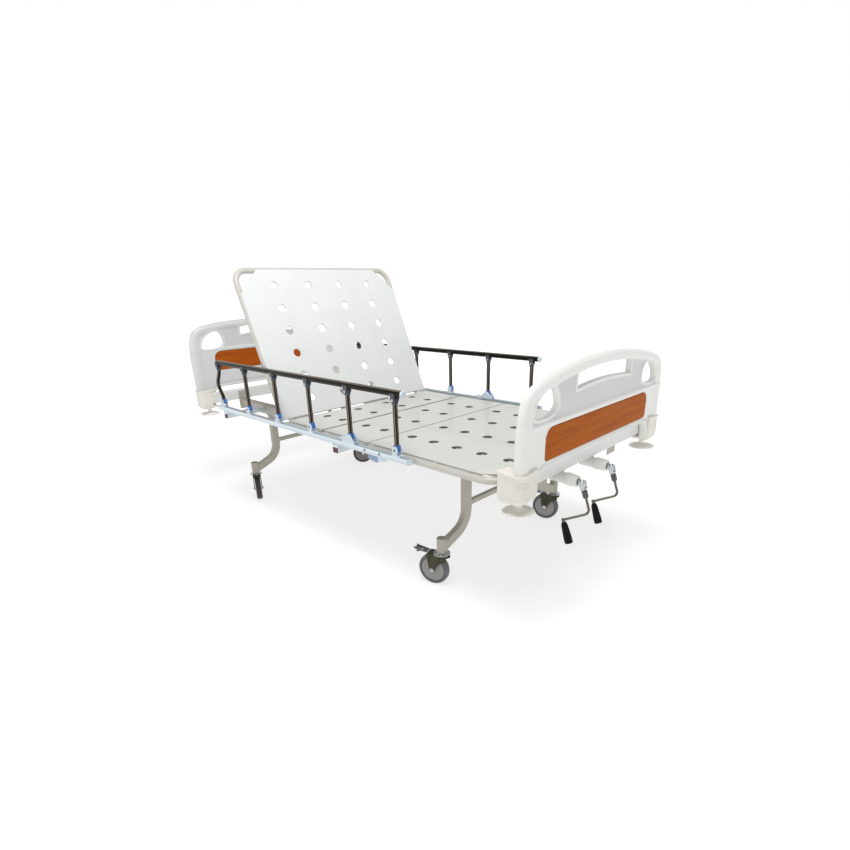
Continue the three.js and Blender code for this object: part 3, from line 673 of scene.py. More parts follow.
def board_field(crown, shoulder, arch, insert, oval, slot):
    """A blow-moulded panel: a tube-like rim, a recessed web with rolled windows, a ridge and a lower lip."""

    def field(x, y, z):
        y2, z2 = y[0], z[0]
        edge = -ring_distance(board_rim(crown, shoulder, BOARD_FOOT - 300), y2, z2)
        gap = ring_distance(board_arch(arch), y2, z2)
        window = ring_distance(handle_window(*slot), y2, z2)
        for side in SIDES:
            window = np.minimum(window, ring_distance(oval_window(side, *oval), y2, z2))
        pocket = ring_distance(insert_ring(insert), y2, z2)

        reach = 19 + 10 * ease(z2, shoulder + 10, shoulder - 120)
        rim = (np.hypot((edge - reach) / reach, x / BOARD_HALF_THICK) - 1) * BOARD_HALF_THICK

        ridge = insert[1] + 16
        lower = ease(z2, ridge + 7, ridge - 2)
        half = WEB_HALF + 4.6 * lower
        half = half + 3.6 * bump_at(z2, ridge - 3, 5.5)
        half = half + 1.6 * bump_at(pocket, 4, 4) * lower
        half = half + 6.5 * bump_at(window, 4, 7) * (1 - lower)
        half = half - 2.6 * bump_at(gap, 16, 6)
        half = half + 4 * bump_at(gap, 4, 5)
        web = round_both(np.abs(x) - half, 8 - edge, 4)

        body = soft_either(rim, web, 9)
        body = round_both(body, BOARD_FOOT - z, 4)
        body = round_both(body, -window, 8)
        body = round_both(body, -gap, 5)
        return round_both(body, -pocket + 0.4, 2)

    return field


for end, dims in BOARD.items():
    node = BOARD_NODE[end]
    centre = middle(node)
    low = (-BOARD_HALF_THICK - 4, -BOARD_HALF - 4, BOARD_FOOT - 6)
    high = (BOARD_HALF_THICK + 4, BOARD_HALF + 4, dims["crown"] + 6)
    shell = surface(board_field(**dims), low, high, BOARD_STEP)
    shell = moved(spun(shell, 180) if end == "head" else shell, x=centre.x)
    plastic = board_plastic(f"{node}_ivory", *BOARD_TONE_AND_SHADE[end], centre.x)
    mesh_piece(f"{node}_shell", shell, plastic, "bed_frame", node, slot="board_plastic", net=True)
    laminate = stood(YZ, insert_ring(dims["insert"], 0.8), INSERT_THICK, (centre.x, 0, 0), bevel=1.2)
    mesh_piece(f"{node}_laminate", laminate, WOOD[end], "bed_frame", f"{node}_insert")


# ---------- corner bumpers and roller discs ----------
END_BEAM_HALF = 440
BUMPER_MARGIN = Vector((3, 3, 3))


def bumper_field(half, foot, head, board_x, beam_y):
    """A corner guard: full outer corner, waved top lip, three grooves near the top and one near the foot.

    Its outer corner is at +x, +y. Behind the board it stops short at the end beam, above its sill.
    """

    def field(x, y, z):
        inset = 3 - 3 * ease(z, head - 14, head - 8) + 5 * ease(z, foot + 20, foot)
        corner = np.where((x > 0) & (y > 0), 24, 7)
        qx, qy = np.abs(x) - (half.x - inset) + corner, np.abs(y) - (half.y - inset) + corner
        plan = np.hypot(np.maximum(qx, 0), np.maximum(qy, 0)) + np.minimum(np.maximum(qx, qy), 0) - corner
        top = head - 7 * (1 - np.abs(x / half.x - y / half.y) ** 1.5 / 2.2)
        guard = round_both(plan, z - top, 3.5)
        guard = round_both(guard, foot - z, 6)
        for drop in (27, 35, 43):
            guard = guard + 2.8 * bump_at(z, head - drop, 2.4) * ease(x, 8, 22) * ease(y, -6, 6)
        guard = guard + 1.8 * bump_at(z, foot + 19, 2)
        beam_room = np.maximum(np.maximum(x - board_x, y - beam_y), foot + 12 - z)
        return round_both(guard, -beam_room, 1.5)

    return field


def bumper(end, direction, hand, side):
    name = f"{end}_{hand}"
    low, high = cad(f"corner_bumper_{name}")
    centre, half = (low + high) / 2, (high - low) / 2
    board_face = min((corner.x for corner in cad(BOARD_NODE[end])), key=abs)
    room = direction * (board_face - centre.x), END_BEAM_HALF - abs(centre.y)
    field = bumper_field(half, low.z, high.z, *room)
    reach = Vector((half.x, half.y, 0)) + BUMPER_MARGIN
    guard = surface(field, Z * low.z - reach, Z * high.z + reach, BUMPER_STEP)
    guard = moved(placed(guard, Matrix.Diagonal((direction, side, 1, 1))), centre.x, centre.y)
    mesh_piece(f"bumper_{name}", guard, BUMPER, "bed_frame", f"corner_bumper_{name}", net=True)


def roller_disc(name):
    """The loose disc under a bumper: a rounded tread, a sloping top and a stub axle."""
    low, high = cad(f"roller_disc_{name}")
    radius, height = (high.x - low.x) / 2, high.z - low.z
    disc = lathe([
        (0, 1), (radius - 8, 1), (radius - 2.5, 0), (radius - 0.6, 1.6), (radius, 4), (radius - 0.8, 6.2),
        (radius - 6, 8), (26, 12.5), (15, 15), (11, 19), (11, height), (0, height),
    ], 56)
    disc = moved(disc, (low.x + high.x) / 2, (low.y + high.y) / 2, low.z)
    mesh_piece(f"disc_{name}", disc, LIT_DISC, f"roller_{name}", f"roller_disc_{name}")


for end, direction in ENDS.items():
    for hand, side in HANDS.items():
        bumper(end, direction, hand, side)
        roller_disc(f"{end}_{hand}")


# ---------- deck sections ----------
TUBE_R = 12.5
TUBE_Y = 457.5
SHEET = 3
SHEET_HALF = 446
SHEET_TOP = cad("calf_panel")[1].z
BACK_SHEET_HALF = 461
HOLE_R = 20
HOLE_Y = (-279, -93, 93, 279)
LUG_Y = (-400, -120, 120, 400)
PIN_R = 8
HINGE_GAP = 16
KNEE_SHIFT = 8
JOINT = {joint["name"]: Vector(joint["pos_m"]) / MM for joint in frame["joints"] if "pos_m" in joint}
PIVOT = JOINT["backrest_hinge"]
THIGH = JOINT["thigh_hinge"]
KNEE = JOINT["knee_hinge"]
FRAME_Z = PIVOT.z
DRIVE_Y = {"backrest": JOINT["backrest_screw_turn"].y, "leg": JOINT["leg_screw_turn"].y}
LEVER = 60


def cross_bar(x, half=TUBE_Y, radius=TUBE_R):
    return tube((x, -half, FRAME_Z), (x, half, FRAME_Z), radius, ends=0.6)


def ladder(x0, x1):
    """Two side tubes and a cross tube at each end."""
    rails = (tube((x0, side * TUBE_Y, FRAME_Z), (x1, side * TUBE_Y, FRAME_Z), TUBE_R) for side in SIDES)
    return joined(*rails, cross_bar(x0 + TUBE_R), cross_bar(x1 - TUBE_R))


def hoop(x0, x1, bend):
    """Round tube bent into a U that closes at x1."""
    corners = [(x0, -TUBE_Y, FRAME_Z), (x1, -TUBE_Y, FRAME_Z), (x1, TUBE_Y, FRAME_Z), (x0, TUBE_Y, FRAME_Z)]
    return sweep(fillet(corners, bend, 14), circle(TUBE_R), Z)


def sheet(near, far, rows, chamfer=0.0, top=SHEET_TOP, collar=9.0, half=SHEET_HALF):
    """Punched sheet with a turned-down edge, and its hole collars. Its far corners are chamfered."""
    way = math.copysign(1, far - near)
    ring = [(near, -half), (far - way * chamfer, -half)]
    if chamfer:
        ring += [(far, -half + chamfer), (far, half - chamfer)]
    ring += [(far - way * chamfer, half), (near, half)]
    holes = [circle(HOLE_R, 32) + (x, y) for x in rows for y in HOLE_Y]
    plate = slab(np.array(ring, float), SHEET, holes, bevel=0.9)
    edge = [(x, y * (1 - 1.4 / half), -4.5) for x, y in ring if abs(y) == half]
    flanges = [sweep([a, b], rounded_rect(2, 8, 0.6), Z) for a, b in (edge[:2], edge[2:])]
    low, inner, outer = -collar, HOLE_R - 0.7, HOLE_R + 1
    profile = [(inner, low), (outer, low), (outer, -1), (inner, 0.4), (inner, low)]
    collars = [moved(lathe(profile, 32), x, y) for x in rows for y in HOLE_Y]
    return [moved(shape, z=top - SHEET / 2) for shape in (joined(plate, *flanges), joined(*collars))]


def deck_section(name, node, shapes, body, material, turn=Matrix()):
    plate, collars = (placed(shape, turn) for shape in shapes)
    mesh_piece(f"{name}_sheet", plate, material, body, node)
    # Deck collars take the dark coat, painted shade in the holes; the backrest's take the backrest coat.
    edge_coat = BACK_DECK if material is BACK_DECK else HOLE_SHADE
    mesh_piece(f"{name}_hole_edges", collars, edge_coat, body)


def lugs(pin_x, to_x, shift=0):
    """A row of ears that carries a section on its hinge pin."""
    way = math.copysign(1, to_x - pin_x)
    ring = outline(
        (0, -11), (to_x - pin_x, -7), (to_x - pin_x, 7), (0, 11),
        [(-way * 8, 11), (-way * 11, 6), (-way * 11, 0)],
        [(-way * 11, -6), (-way * 8, -11), (0, -11)], steps=5,
    )[:-1]
    hole = circle(PIN_R + 0.6, 20)
    return joined(*(stood(XZ, ring, 6, (pin_x, y + shift, FRAME_Z), 0.8, [hole]) for y in LUG_Y))


def lever(pin_x, y, swing, weld_to):
    """Lever plate on a hub, with a cross pin at its end and a neck to the section's first tube."""
    angle = math.radians(swing)
    tip = [(-8, -LEVER - 10), (8, -LEVER - 10), (8, -LEVER)]
    ring = outline((-9, -4), (-8, -LEVER), tip, (9, -4), steps=6)
    plate = spun(stood(XZ, ring, 8), -swing, "Y")
    bore = PIN_R + 0.8
    hub = spun(lathe([(bore, -5), (15, -5), (15, 5), (bore, 5), (bore, -5)], 32), 90, "X")
    reach = Vector((LEVER * math.sin(angle), 0, -LEVER * math.cos(angle)))
    pin = tube(reach - Y * 14, reach + Y * 14, 5, 20)
    neck = soft_box((min(0, weld_to - pin_x), -4, -7), (max(0, weld_to - pin_x), 4, 7), 1)
    return moved(joined(plate, hub, pin), pin_x, y, FRAME_Z), moved(neck, pin_x, y, FRAME_Z)


BACKREST_ANGLE = 67
BACKREST_LENGTH = 716
lean_back = Matrix.Rotation(math.radians(BACKREST_ANGLE), 4, "Y")
raise_backrest = Matrix.Translation(PIVOT) @ lean_back @ Matrix.Translation(-PIVOT)


def backrest():
    start = PIVOT.x - HINGE_GAP
    end = PIVOT.x - BACKREST_LENGTH
    arm, neck = lever(PIVOT.x, DRIVE_Y["backrest"], BACKREST_ANGLE / 2, start - TUBE_R)
    frame_tubes = joined(
        hoop(start, end + 1.5, 62),
        cross_bar(start - TUBE_R),
        cross_bar(PIVOT.x - 360),
        lugs(PIVOT.x, start - TUBE_R),
        arm,
        neck,
    )
    frame_tubes = placed(frame_tubes, raise_backrest)
    mesh_piece("backrest_tubes", frame_tubes, FRAME, "backrest", "backrest_frame")
    rows = [PIVOT.x - 96 - 108 * row for row in range(6)]
    shapes = sheet(start, end + 3, rows, 112, collar=4.5, half=BACK_SHEET_HALF)
    deck_section("backrest", "backrest_panel", shapes, "backrest", BACK_DECK, raise_backrest)


def seat():
    low, high = cad("seat_panel")
    x0, x1 = low.x, THIGH.x - HINGE_GAP
    mesh_piece("seat_tubes", ladder(x0, x1), FRAME, "bed_frame")
    rows = [x0 + 66, x0 + 184]
    deck_section("seat", "seat_panel", sheet(x0, high.x, rows, top=high.z), "bed_frame", DECK)


def thigh():
    x0, x1 = THIGH.x + HINGE_GAP, KNEE.x - HINGE_GAP
    arm, neck = lever(THIGH.x, DRIVE_Y["leg"], -20, x0 + TUBE_R)
    tubes = joined(
        ladder(x0, x1),
        lugs(THIGH.x, x0 + TUBE_R),
        lugs(KNEE.x, x1 - TUBE_R, KNEE_SHIFT),
        arm,
        neck,
    )
    mesh_piece("thigh_tubes", tubes, FRAME, "thigh_section")
    pin = cross_bar(KNEE.x, 420, radius=PIN_R)
    mesh_piece("knee_pin", pin, STEEL, "thigh_section")
    top = cad("thigh_panel")[1].z
    rows = [THIGH.x + 86, THIGH.x + 205]
    shapes = sheet(THIGH.x + 4, KNEE.x - 4, rows, top=top)
    deck_section("thigh", "thigh_panel", shapes, "thigh_section", DECK)


def calf():
    x0, x1 = KNEE.x + HINGE_GAP, cad("calf_frame")[1].x - TUBE_R
    tubes = joined(
        hoop(x0, x1, 70),
        cross_bar(x0 + TUBE_R),
        cross_bar(KNEE.x + 360),
        lugs(KNEE.x, x0 + TUBE_R),
    )
    mesh_piece("calf_tubes", tubes, FRAME, "calf_section", "calf_frame")
    rows = [KNEE.x + 77 + 118 * row for row in range(5)]
    shapes = sheet(KNEE.x + 4, cad("calf_panel")[1].x, rows, 62)
    deck_section("calf", "calf_panel", shapes, "calf_section", DECK)


for build in (backrest, seat, thigh, calf):
    build()


# ---------- base frame and legs ----------
def beam(start, end, width, height, corner):
    """A rectangular tube with rounded corners between two points."""
    return sweep([start, end], rounded_rect(width, height, corner), Z)


def across_beam(x, half, z, width, height, corner):
    return beam((x, -half, z), (x, half, z), width, height, corner)


def end_plug(at, width, height, direction):
    """Moulded plug in the open end of a rectangular tube."""
    return stood(YZ, rounded_rect(width, height, 4), 3, at + X * direction * 1.2, bevel=1.2)


BEAM_Y, BEAM_W, BEAM_H = 255, 40, 50
BEAM_TOP = FRAME_Z - TUBE_R - 0.3
END_Z = (494, 550)
base_low, base_high = cad("base_frame")
MID_X = (base_low.x + base_high.x) / 2
END_X = (base_high.x - base_low.x) / 2 - 21
OUTRIGGER_X = (-738, 200)
END_CUT = (74, 28)
CROSS_X = (-560, -60, 420)
RAIL_Y = 492
ARM_Z = 476
ARM_SIZE = (30, 24)


def base_frame():
    parts, arms, plugs, caps = [], [], [], []
    reach = END_X - 22
    depth = BEAM_H - END_CUT[1]
    for side in SIDES:
        y = side * BEAM_Y
        side_view = np.array([
            (-reach, 0), (-reach, -depth), (-reach + END_CUT[0], -BEAM_H), (reach - END_CUT[0], -BEAM_H),
            (reach, -depth), (reach, 0),
        ])
        parts.append(stood(XZ, side_view, BEAM_W, (MID_X, y, BEAM_TOP), bevel=2.5))
        for way in SIDES:
            x = MID_X + way * reach
            plugs.append(end_plug(Vector((x, y, BEAM_TOP - depth / 2)), BEAM_W - 6, depth - 6, way))
            gusset = outline((-32, 440 - BEAM_TOP), (32, 440 - BEAM_TOP), (32, 50), (-32, 50)) + (y, BEAM_TOP)
            parts.append(stood(YZ, gusset, 4, (x, 0, 0)))
        for x in (PIVOT.x, THIGH.x):
            tab = outline((-12, 0), (12, 0), (12, 10), [(12, 24), (-12, 24), (-12, 10)], steps=8)[:-1]
            parts.append(stood(XZ, tab, 6, (x, y, BEAM_TOP - 1), bevel=0.8))
        for x in OUTRIGGER_X:
            x += MID_X
            arms.append(beam((x, side * 270, ARM_Z), (x, side * (RAIL_Y + 9), ARM_Z), *ARM_SIZE, 3))
            arms.append(soft_box((x - 15, side * RAIL_Y - 12, 486), (x + 15, side * RAIL_Y + 12, 499.6), 1))
            caps.append(stood(XZ, rounded_rect(*ARM_SIZE, 3), 4, (x, side * (RAIL_Y + 10), ARM_Z)))
    z, height = sum(END_Z) / 2, END_Z[1] - END_Z[0]
    ends = [across_beam(MID_X + way * END_X, END_BEAM_HALF, z, 42, height, 5) for way in SIDES]
    parts += [across_beam(MID_X + x, BEAM_Y, BEAM_TOP - BEAM_H + 7, 30, 14, 3) for x in CROSS_X]
    pins = [cross_bar(x, 430, PIN_R) for x in (PIVOT.x, THIGH.x)]
    mesh_piece("base_beams", joined(*parts), LEG, "bed_frame", "base_frame")
    mesh_piece("end_beams", joined(*ends), END_BEAM, "bed_frame")
    mesh_piece("outrigger_arms", joined(*arms), RAIL_BAR_METAL, "bed_frame")
    mesh_piece("hinge_pins", joined(*pins), STEEL, "bed_frame")
    mesh_piece("beam_plugs", joined(*plugs), LEG, "bed_frame")
    mesh_piece("outrigger_caps", joined(*caps), RED, "bed_frame")


SOCKET_R, SOCKET_LOW, SOCKET_HIGH = 19, 140, 200
BRACE_Z = 295
CASTER_Y = abs(JOINT["swivel_foot_left"].y)
CASTER_X = {end: JOINT[f"swivel_{end}_left"].x for end in ENDS}


def weld_bead(path, normal):
    return sweep(path, circle(2.2, 10), normal, closed=True)


def leg_frame(end):
    x = CASTER_X[end]
    parts = []
    for side in SIDES:
        corners = [(x, side * BEAM_Y, BEAM_TOP - BEAM_H), (x, side * BEAM_Y, 214), (x, side * CASTER_Y, 160)]
        parts.append(sweep(fillet(corners, 92, 14), rounded_rect(40, 27, 5), X))
        low, high = SOCKET_LOW, SOCKET_HIGH
        profile = [
            (0, low), (SOCKET_R - 1, low), (SOCKET_R, low + 1), (SOCKET_R, high - 1), (SOCKET_R - 1, high),
            (SOCKET_R - 3, high), (SOCKET_R - 3.4, high - 5), (0, high - 5),
        ]
        parts.append(moved(lathe(profile, 40), x, side * CASTER_Y))
        ring = [(x + b, side * BEAM_Y + a, BEAM_TOP - BEAM_H - 1.5) for a, b in rounded_rect(42, 29, 5)]
        parts.append(weld_bead(ring, Z))
    parts.append(across_beam(x, BEAM_Y, BRACE_Z, 20, 20, 3))
    for side in SIDES:
        ring = [(x + a, side * (BEAM_Y - 20.5), BRACE_Z + b) for a, b in rounded_rect(21, 21, 3)]
        parts.append(weld_bead(ring, Y))
    mesh_piece(f"leg_tubes_{end}", joined(*parts), LEG, "bed_frame", f"leg_frame_{end}")


base_frame()
for end in ENDS:
    leg_frame(end)


# ---------- casters ----------
WHEEL_R = 62.5
TRAIL = 34
CASTER_TURN = {"head_left": 154, "head_right": 51, "foot_left": 15, "foot_right": 15}


def caster_fork():
    cheek = outline(
        (26, 112), (26, 131), (-58, 131), (-TRAIL - 13, WHEEL_R),
        [(-TRAIL - 13, WHEEL_R - 17), (-TRAIL + 13, WHEEL_R - 17), (-TRAIL + 12, WHEEL_R + 4)],
        [(-8, 96), (14, 106), (26, 112)], steps=7,
    )[:-1]
    crown = moved(slab(rounded_rect(83, 42, 9), 5, bevel=1.6), x=-14.5, z=130.5)
    rib = moved(slab(rounded_rect(34, 44, 8), 7, bevel=2), x=6, z=127)
    return joined(cheeks(cheek, 4, (0, 0, 0), 19, bevel=1.2), crown, rib)


def caster_ring():
    top = SOCKET_LOW - 0.3
    race = lathe([
        (0, 132.5), (28, 132.5), (31.5, 133.5), (33, 135.5), (32, 137.5), (27, 138.2), (25, 137.4), (22, 138),
        (21, top), (0, top),
    ], 48)
    head = lathe([(0, 0), (7.5, 0), (7.5, 1.2), (6.2, 1.6), (6.2, 4.2), (5, 5.2), (0, 5.4)], 6)
    washer = lathe([(0, 0), (9, 0), (9, 1), (0, 1)], 32)
    stack = joined(washer, moved(head, z=0.8))
    return joined(race, *(faced(stack, side, (-TRAIL, side * 21, WHEEL_R)) for side in SIDES))


def wheel_parts():
    """A wheel on the Z axis: its tread, its hub and the two lips that hold the tread."""
    tread = lathe(both_ways([
        (62.5, 0), (62.2, -8), (60.5, -12.5), (57, -14.6), (51, -13), (49, -12),
    ]), 64)
    hub = lathe(both_ways([
        (0, -14), (13, -14), (14.5, -12.5), (15.5, -9.5), (40, -8.5), (44, -11), (48, -12.4), (49.4, -12.2),
    ]), 64)
    rims = [
        sweep(np.column_stack((circle(50.2, 64), np.full(64, side * 12.4))), circle(1.5, 8), Z, closed=True)
        for side in SIDES
    ]
    return tread, hub, joined(*rims)


def brake_pedal():
    """A slotted pedal plate that curls up at its tip, and the tab under it."""
    plate = outline(
        (-58, -15), (-92, -16.5), [(-104, -16.5), (-106, -16), (-113, -16.5)], (-117.5, -12),
        [(-110, -6), (-110, 6), (-117.5, 12)], (-113, 16.5),
        [(-106, 16), (-104, 16.5), (-92, 16.5)], (-58, 15),
    )
    slot = rounded_rect(14, 8, 3.8) + (-86, 0)
    body = slab(plate, 4, [slot], bevel=1.3)
    points = np.array(body[0])
    lift = np.clip((-points[:, 0] - 96) / 22, 0, 1) ** 2 * 8.5
    points[:, 2] += 132.6 + lift + (-points[:, 0] - 58) * 0.05
    tab = stood(XZ, outline((-96, 131), (-108, 124), (-104, 120), (-90, 128)), 14, bevel=1.2)
    return joined((points, body[1])), tab


for end in ENDS:
    for hand in HANDS:
        key = f"{end}_{hand}"
        at = JOINT[f"swivel_{key}"]
        place = Matrix.Translation((at.x, at.y, 0)) @ Matrix.Rotation(math.radians(CASTER_TURN[key]), 4, "Z")
        body = f"caster_swivel_{key}"
        mesh_piece(f"fork_{key}", placed(caster_fork(), place), FORK, body, f"caster_fork_{key}")
        mesh_piece(f"fork_ring_{key}", placed(caster_ring(), place), CHROME, body)
        axle = place @ Matrix.Translation((-TRAIL, 0, WHEEL_R)) @ Matrix.Rotation(math.radians(90), 4, "X")
        tread, hub, rims = (placed(shape, axle) for shape in wheel_parts())
        mesh_piece(f"tread_{key}", tread, TREAD[end], f"wheel_{key}", f"caster_wheel_{key}")
        mesh_piece(f"hub_{key}", hub, HUB[end], f"wheel_{key}")
        mesh_piece(f"tyre_edge_{key}", rims, TYRE, f"wheel_{key}")
        if end == "foot":
            pedal, tab = (placed(shape, place) for shape in brake_pedal())
            mesh_piece(f"pedal_{key}", pedal, PEDAL, f"pedal_{key}", f"brake_pedal_{key}")
            mesh_piece(f"pedal_tab_{key}", tab, BLACK, f"pedal_{key}")


# ---------- side rails ----------
BAR_LOW, BAR_HIGH = 500, 523
POST_FOOT_Z = JOINT["rail_fold_left"].z
POST_TOP_Z = JOINT["top_rail_level_left"].z
TOP_RAIL_Z = 745
TOP_RAIL_R = 12.5
POST_COUNT = 6
STUD_X = (92, 176)
LATCH_POST = 4


def bar_section():
    """Aluminium extrusion with a slot line low on its outer and inner faces."""
    ring = rounded_rect(24, 23, 2.5, 3)
    slot = np.array([(12, -5), (11, -5), (11, -3.2), (12, -3.2)])
    return np.vstack((ring[:8], slot[::-1] * (-1, 1), ring[8:], slot))


def rail_bar(hand, y, posts):
    out = math.copysign(1, y)
    x0, x1 = posts[0] - 58, posts[-1] + 66
    z = (BAR_LOW + BAR_HIGH) / 2
    extrusion = sweep([(x0 + 2, y, z), (x1 - 2, y, z)], bar_section(), Z)
    lip = soft_box((x0 + 4, y - 5, BAR_HIGH - 0.6), (x1 - 4, y + 5, BAR_HIGH + 1.4), 0.6)
    bar = joined(extrusion, lip)
    mesh_piece(f"rail_bar_{hand}_tube", bar, RAIL_BAR_METAL, "bed_frame", f"rail_bar_{hand}")
    caps = [stood(YZ, rounded_rect(24, 23, 3), 5, (x, y, z), bevel=1.4) for x in (x0 + 2.5, x1 - 2.5)]
    mesh_piece(f"rail_bar_caps_{hand}", joined(*caps), PIVOT_WHITE, "bed_frame")
    stud = lathe([(0, 0), (4.4, 0), (4.4, 1.6), (2.4, 2.8), (0, 3)], 24)
    studs = [faced(stud, out, (posts[LATCH_POST] + x, y + out * 11.2, z + 2)) for x in STUD_X]
    mesh_piece(f"rail_studs_{hand}", joined(*studs), CLAMP, "bed_frame", slot="grip_plastic")


def cheek_ring(width, base, round_at, radius):
    """Cheek outline: a foot that rises to a round head."""
    sides = 14
    arc = [
        (radius * math.cos(math.pi * k / sides), round_at + radius * math.sin(math.pi * k / sides))
        for k in range(sides + 1)
    ]
    return np.array([(-width / 2, base), (width / 2, base), *arc])


def post_bracket(x, y):
    """The pale bracket that carries a post's foot, and the dark pin head on its outer side."""
    out = math.copysign(1, y)
    ring = cheek_ring(23, BAR_HIGH - POST_FOOT_Z - 2, -1, 14)
    pair = cheeks(ring, 3.8, (x, y, POST_FOOT_Z), 11)
    saddle = soft_box((x - 18, y - 13.5, BAR_HIGH - 1.5), (x + 18, y + 13.5, BAR_HIGH + 2.5), 1.6)
    cover = lathe([(0, 0), (12, 0), (12.4, 0.6), (11.8, 1.4), (6.2, 1.8), (5.6, 1), (0, 1)], 36)
    cover = faced(cover, out, (x, y + out * 12.4, POST_FOOT_Z))
    pin = lathe([(0, 0), (4.2, 0), (4, 1), (0, 1.2)], 20)
    return joined(pair, saddle, cover), faced(pin, out, (x, y + out * 13.2, POST_FOOT_Z))


def latch_housing(x, y):
    """Release housing at the fifth post: a fan plate on each side and a block towards the head."""
    ring = outline(
        (34, -24), [(30, -8), (22, 4), (8, 8)], [(-6, 12), (-22, 8), (-30, -4)],
        (-38, -12), (-40, -22), steps=8,
    )
    fans = cheeks(ring, 4, (x, y, POST_FOOT_Z), 12.4, bevel=1.4)
    inner = y - math.copysign(8, y)
    block = soft_box((x - 68, inner - 11, BAR_HIGH - 4), (x - 26, inner + 11, BAR_HIGH + 13), 3)
    return joined(fans, block)


def post_path(x, y, bowed, offset=0.0):
    """Line along a post; the first one bows towards the head."""
    low, high = POST_FOOT_Z + 9, POST_TOP_Z - 8
    steps = 16
    bow = 36 if bowed else 0
    return [
        Vector((x + offset - bow * math.sin(math.pi * k / steps) ** 2, y, low + (high - low) * k / steps))
        for k in range(steps + 1)
    ]


def post_section():
    """Flattened oval tube."""
    round_x, round_y = circle(1, 36).T
    x = 8.8 * np.sign(round_x) * np.abs(round_x) ** 0.8
    y = 7.6 * np.sign(round_y) * np.abs(round_y) ** 0.6
    return np.column_stack((x, y))


def post_tube(x, y, bowed):
    """Dark polished tube with two ridges down each wide face and one on each edge, in lighter steel: painted
    reflection lines.
    """
    tube_shape = sweep(post_path(x, y, bowed), post_section(), Y)
    ridges = []
    for offset in (-3.6, 3.6):
        for face in SIDES:
            section = circle(1.25, 10) + (0, face * 7.2)
            ridges.append(sweep(post_path(x, y, bowed, offset), section, Y))
    for edge in SIDES:
        ridges.append(sweep(post_path(x, y, bowed, edge * 8.2), circle(1, 8), Y))
    return tube_shape, joined(*ridges)


def post_ends(x, y):
    """The knuckle at the post's head and the blue boot at its foot."""
    knuckle = lathe([(0, -9), (8.6, -9), (8.6, 9), (0, 9)], 28)
    head = moved(spun(knuckle, 90, "X"), x, y, POST_TOP_Z)
    neck = soft_box((x - 9.4, y - 8.4, POST_TOP_Z - 15), (x + 9.4, y + 8.4, POST_TOP_Z - 2), 2.4)
    ring = outline((-9.4, 0), [(-9.4, -13), (9.4, -13), (11, 0)], (11, 16), (-9.4, 16), steps=10)
    foot = stood(XZ, ring, 18.4, (x, y, POST_FOOT_Z), bevel=1.6)
    return joined(head, neck), foot


def top_rail(hand, y, posts):
    """Dark top rail with a ribbed grip band along its upper side; the ribs' lighter steel is painted
    highlight on the top.
    """
    body = f"top_rail_{hand}"
    x0, x1 = posts[0] - 8, posts[-1] + 48
    rail = tube((x0, y, TOP_RAIL_Z), (x1 - 8, y, TOP_RAIL_Z), TOP_RAIL_R - 0.9, 36)
    mesh_piece(f"{body}_tube", rail, RAIL_STEEL, body, f"rail_top_{hand}")
    ribs = []
    for degrees in range(50, 131, 16):
        angle = math.radians(degrees)
        at_y, at_z = y + 11.4 * math.cos(angle), TOP_RAIL_Z + 11.4 * math.sin(angle)
        ribs.append(tube((x0 + 1, at_y, at_z), (x1 - 9, at_y, at_z), 0.95, 8, 0.4))
    mesh_piece(f"{body}_ribs", joined(*ribs), RAIL_HIGHLIGHT, body)
    cap = tube((x1 - 12, y, TOP_RAIL_Z), (x1, y, TOP_RAIL_Z), TOP_RAIL_R + 0.4, 36, ends=3)
    mesh_piece(f"{body}_cap", cap, PIVOT_WHITE, body)
    clamps = []
    drop = TOP_RAIL_Z - POST_TOP_Z
    ring = cheek_ring(20, 0, drop - 4, 10)
    ring[:, 1] = drop - 2 - ring[:, 1]
    angles = np.linspace(math.radians(178), math.radians(362), 24)
    wall = [np.column_stack((r * np.cos(angles), r * np.sin(angles))) for r in (13.6, 11.8)]
    saddle = stood(YZ, np.vstack((wall[0], wall[1][::-1])), 26, bevel=0.7)
    disc = lathe([(0, 0), (5, 0), (5, 1), (3.6, 1.6), (0, 1.8)], 24)
    pins = []
    for x in posts:
        clamps += [cheeks(ring, 3.8, (x, y, POST_TOP_Z), 11), moved(saddle, x, y, TOP_RAIL_Z)]
        pins += [faced(disc, side, (x, y + side * 12.6, POST_TOP_Z)) for side in SIDES]
    mesh_piece(f"{body}_clamps", joined(*clamps), CLAMP, body)
    mesh_piece(f"{body}_pins", joined(*pins), CHROME, body)


def latch_lever(hand, y):
    """Lever under the bar: a grey-blue handle on a pale mount."""
    low, high = cad(f"rail_latch_{hand}")
    split = low.x + (high.x - low.x) * 0.58
    grip = outline(
        (low.x, high.z - 3), (low.x + 3, high.z), (split, high.z), (split, low.z + 2), (split - 6, low.z),
        [(low.x + 30, low.z), (low.x + 10, low.z + 4), (low.x, low.z + 9)], steps=8,
    )
    mount = outline(
        (split - 1, high.z), (high.x - 5, high.z), [(high.x, high.z), (high.x, high.z - 6)],
        (high.x - 4, low.z + 12),
        [(high.x - 10, low.z + 6), (split + 8, low.z + 4), (split - 1, low.z + 4)], steps=8,
    )
    for name, ring, width, material in (("handle", grip, 20, LATCH), ("mount", mount, 18, PIVOT_WHITE)):
        part = stood(XZ, ring, width, (0, y, 0), bevel=1.8)
        covers = [f"rail_latch_{hand}"] if name == "handle" else ()
        mesh_piece(f"release_{name}_{hand}", part, material, f"latch_{hand}", *covers)


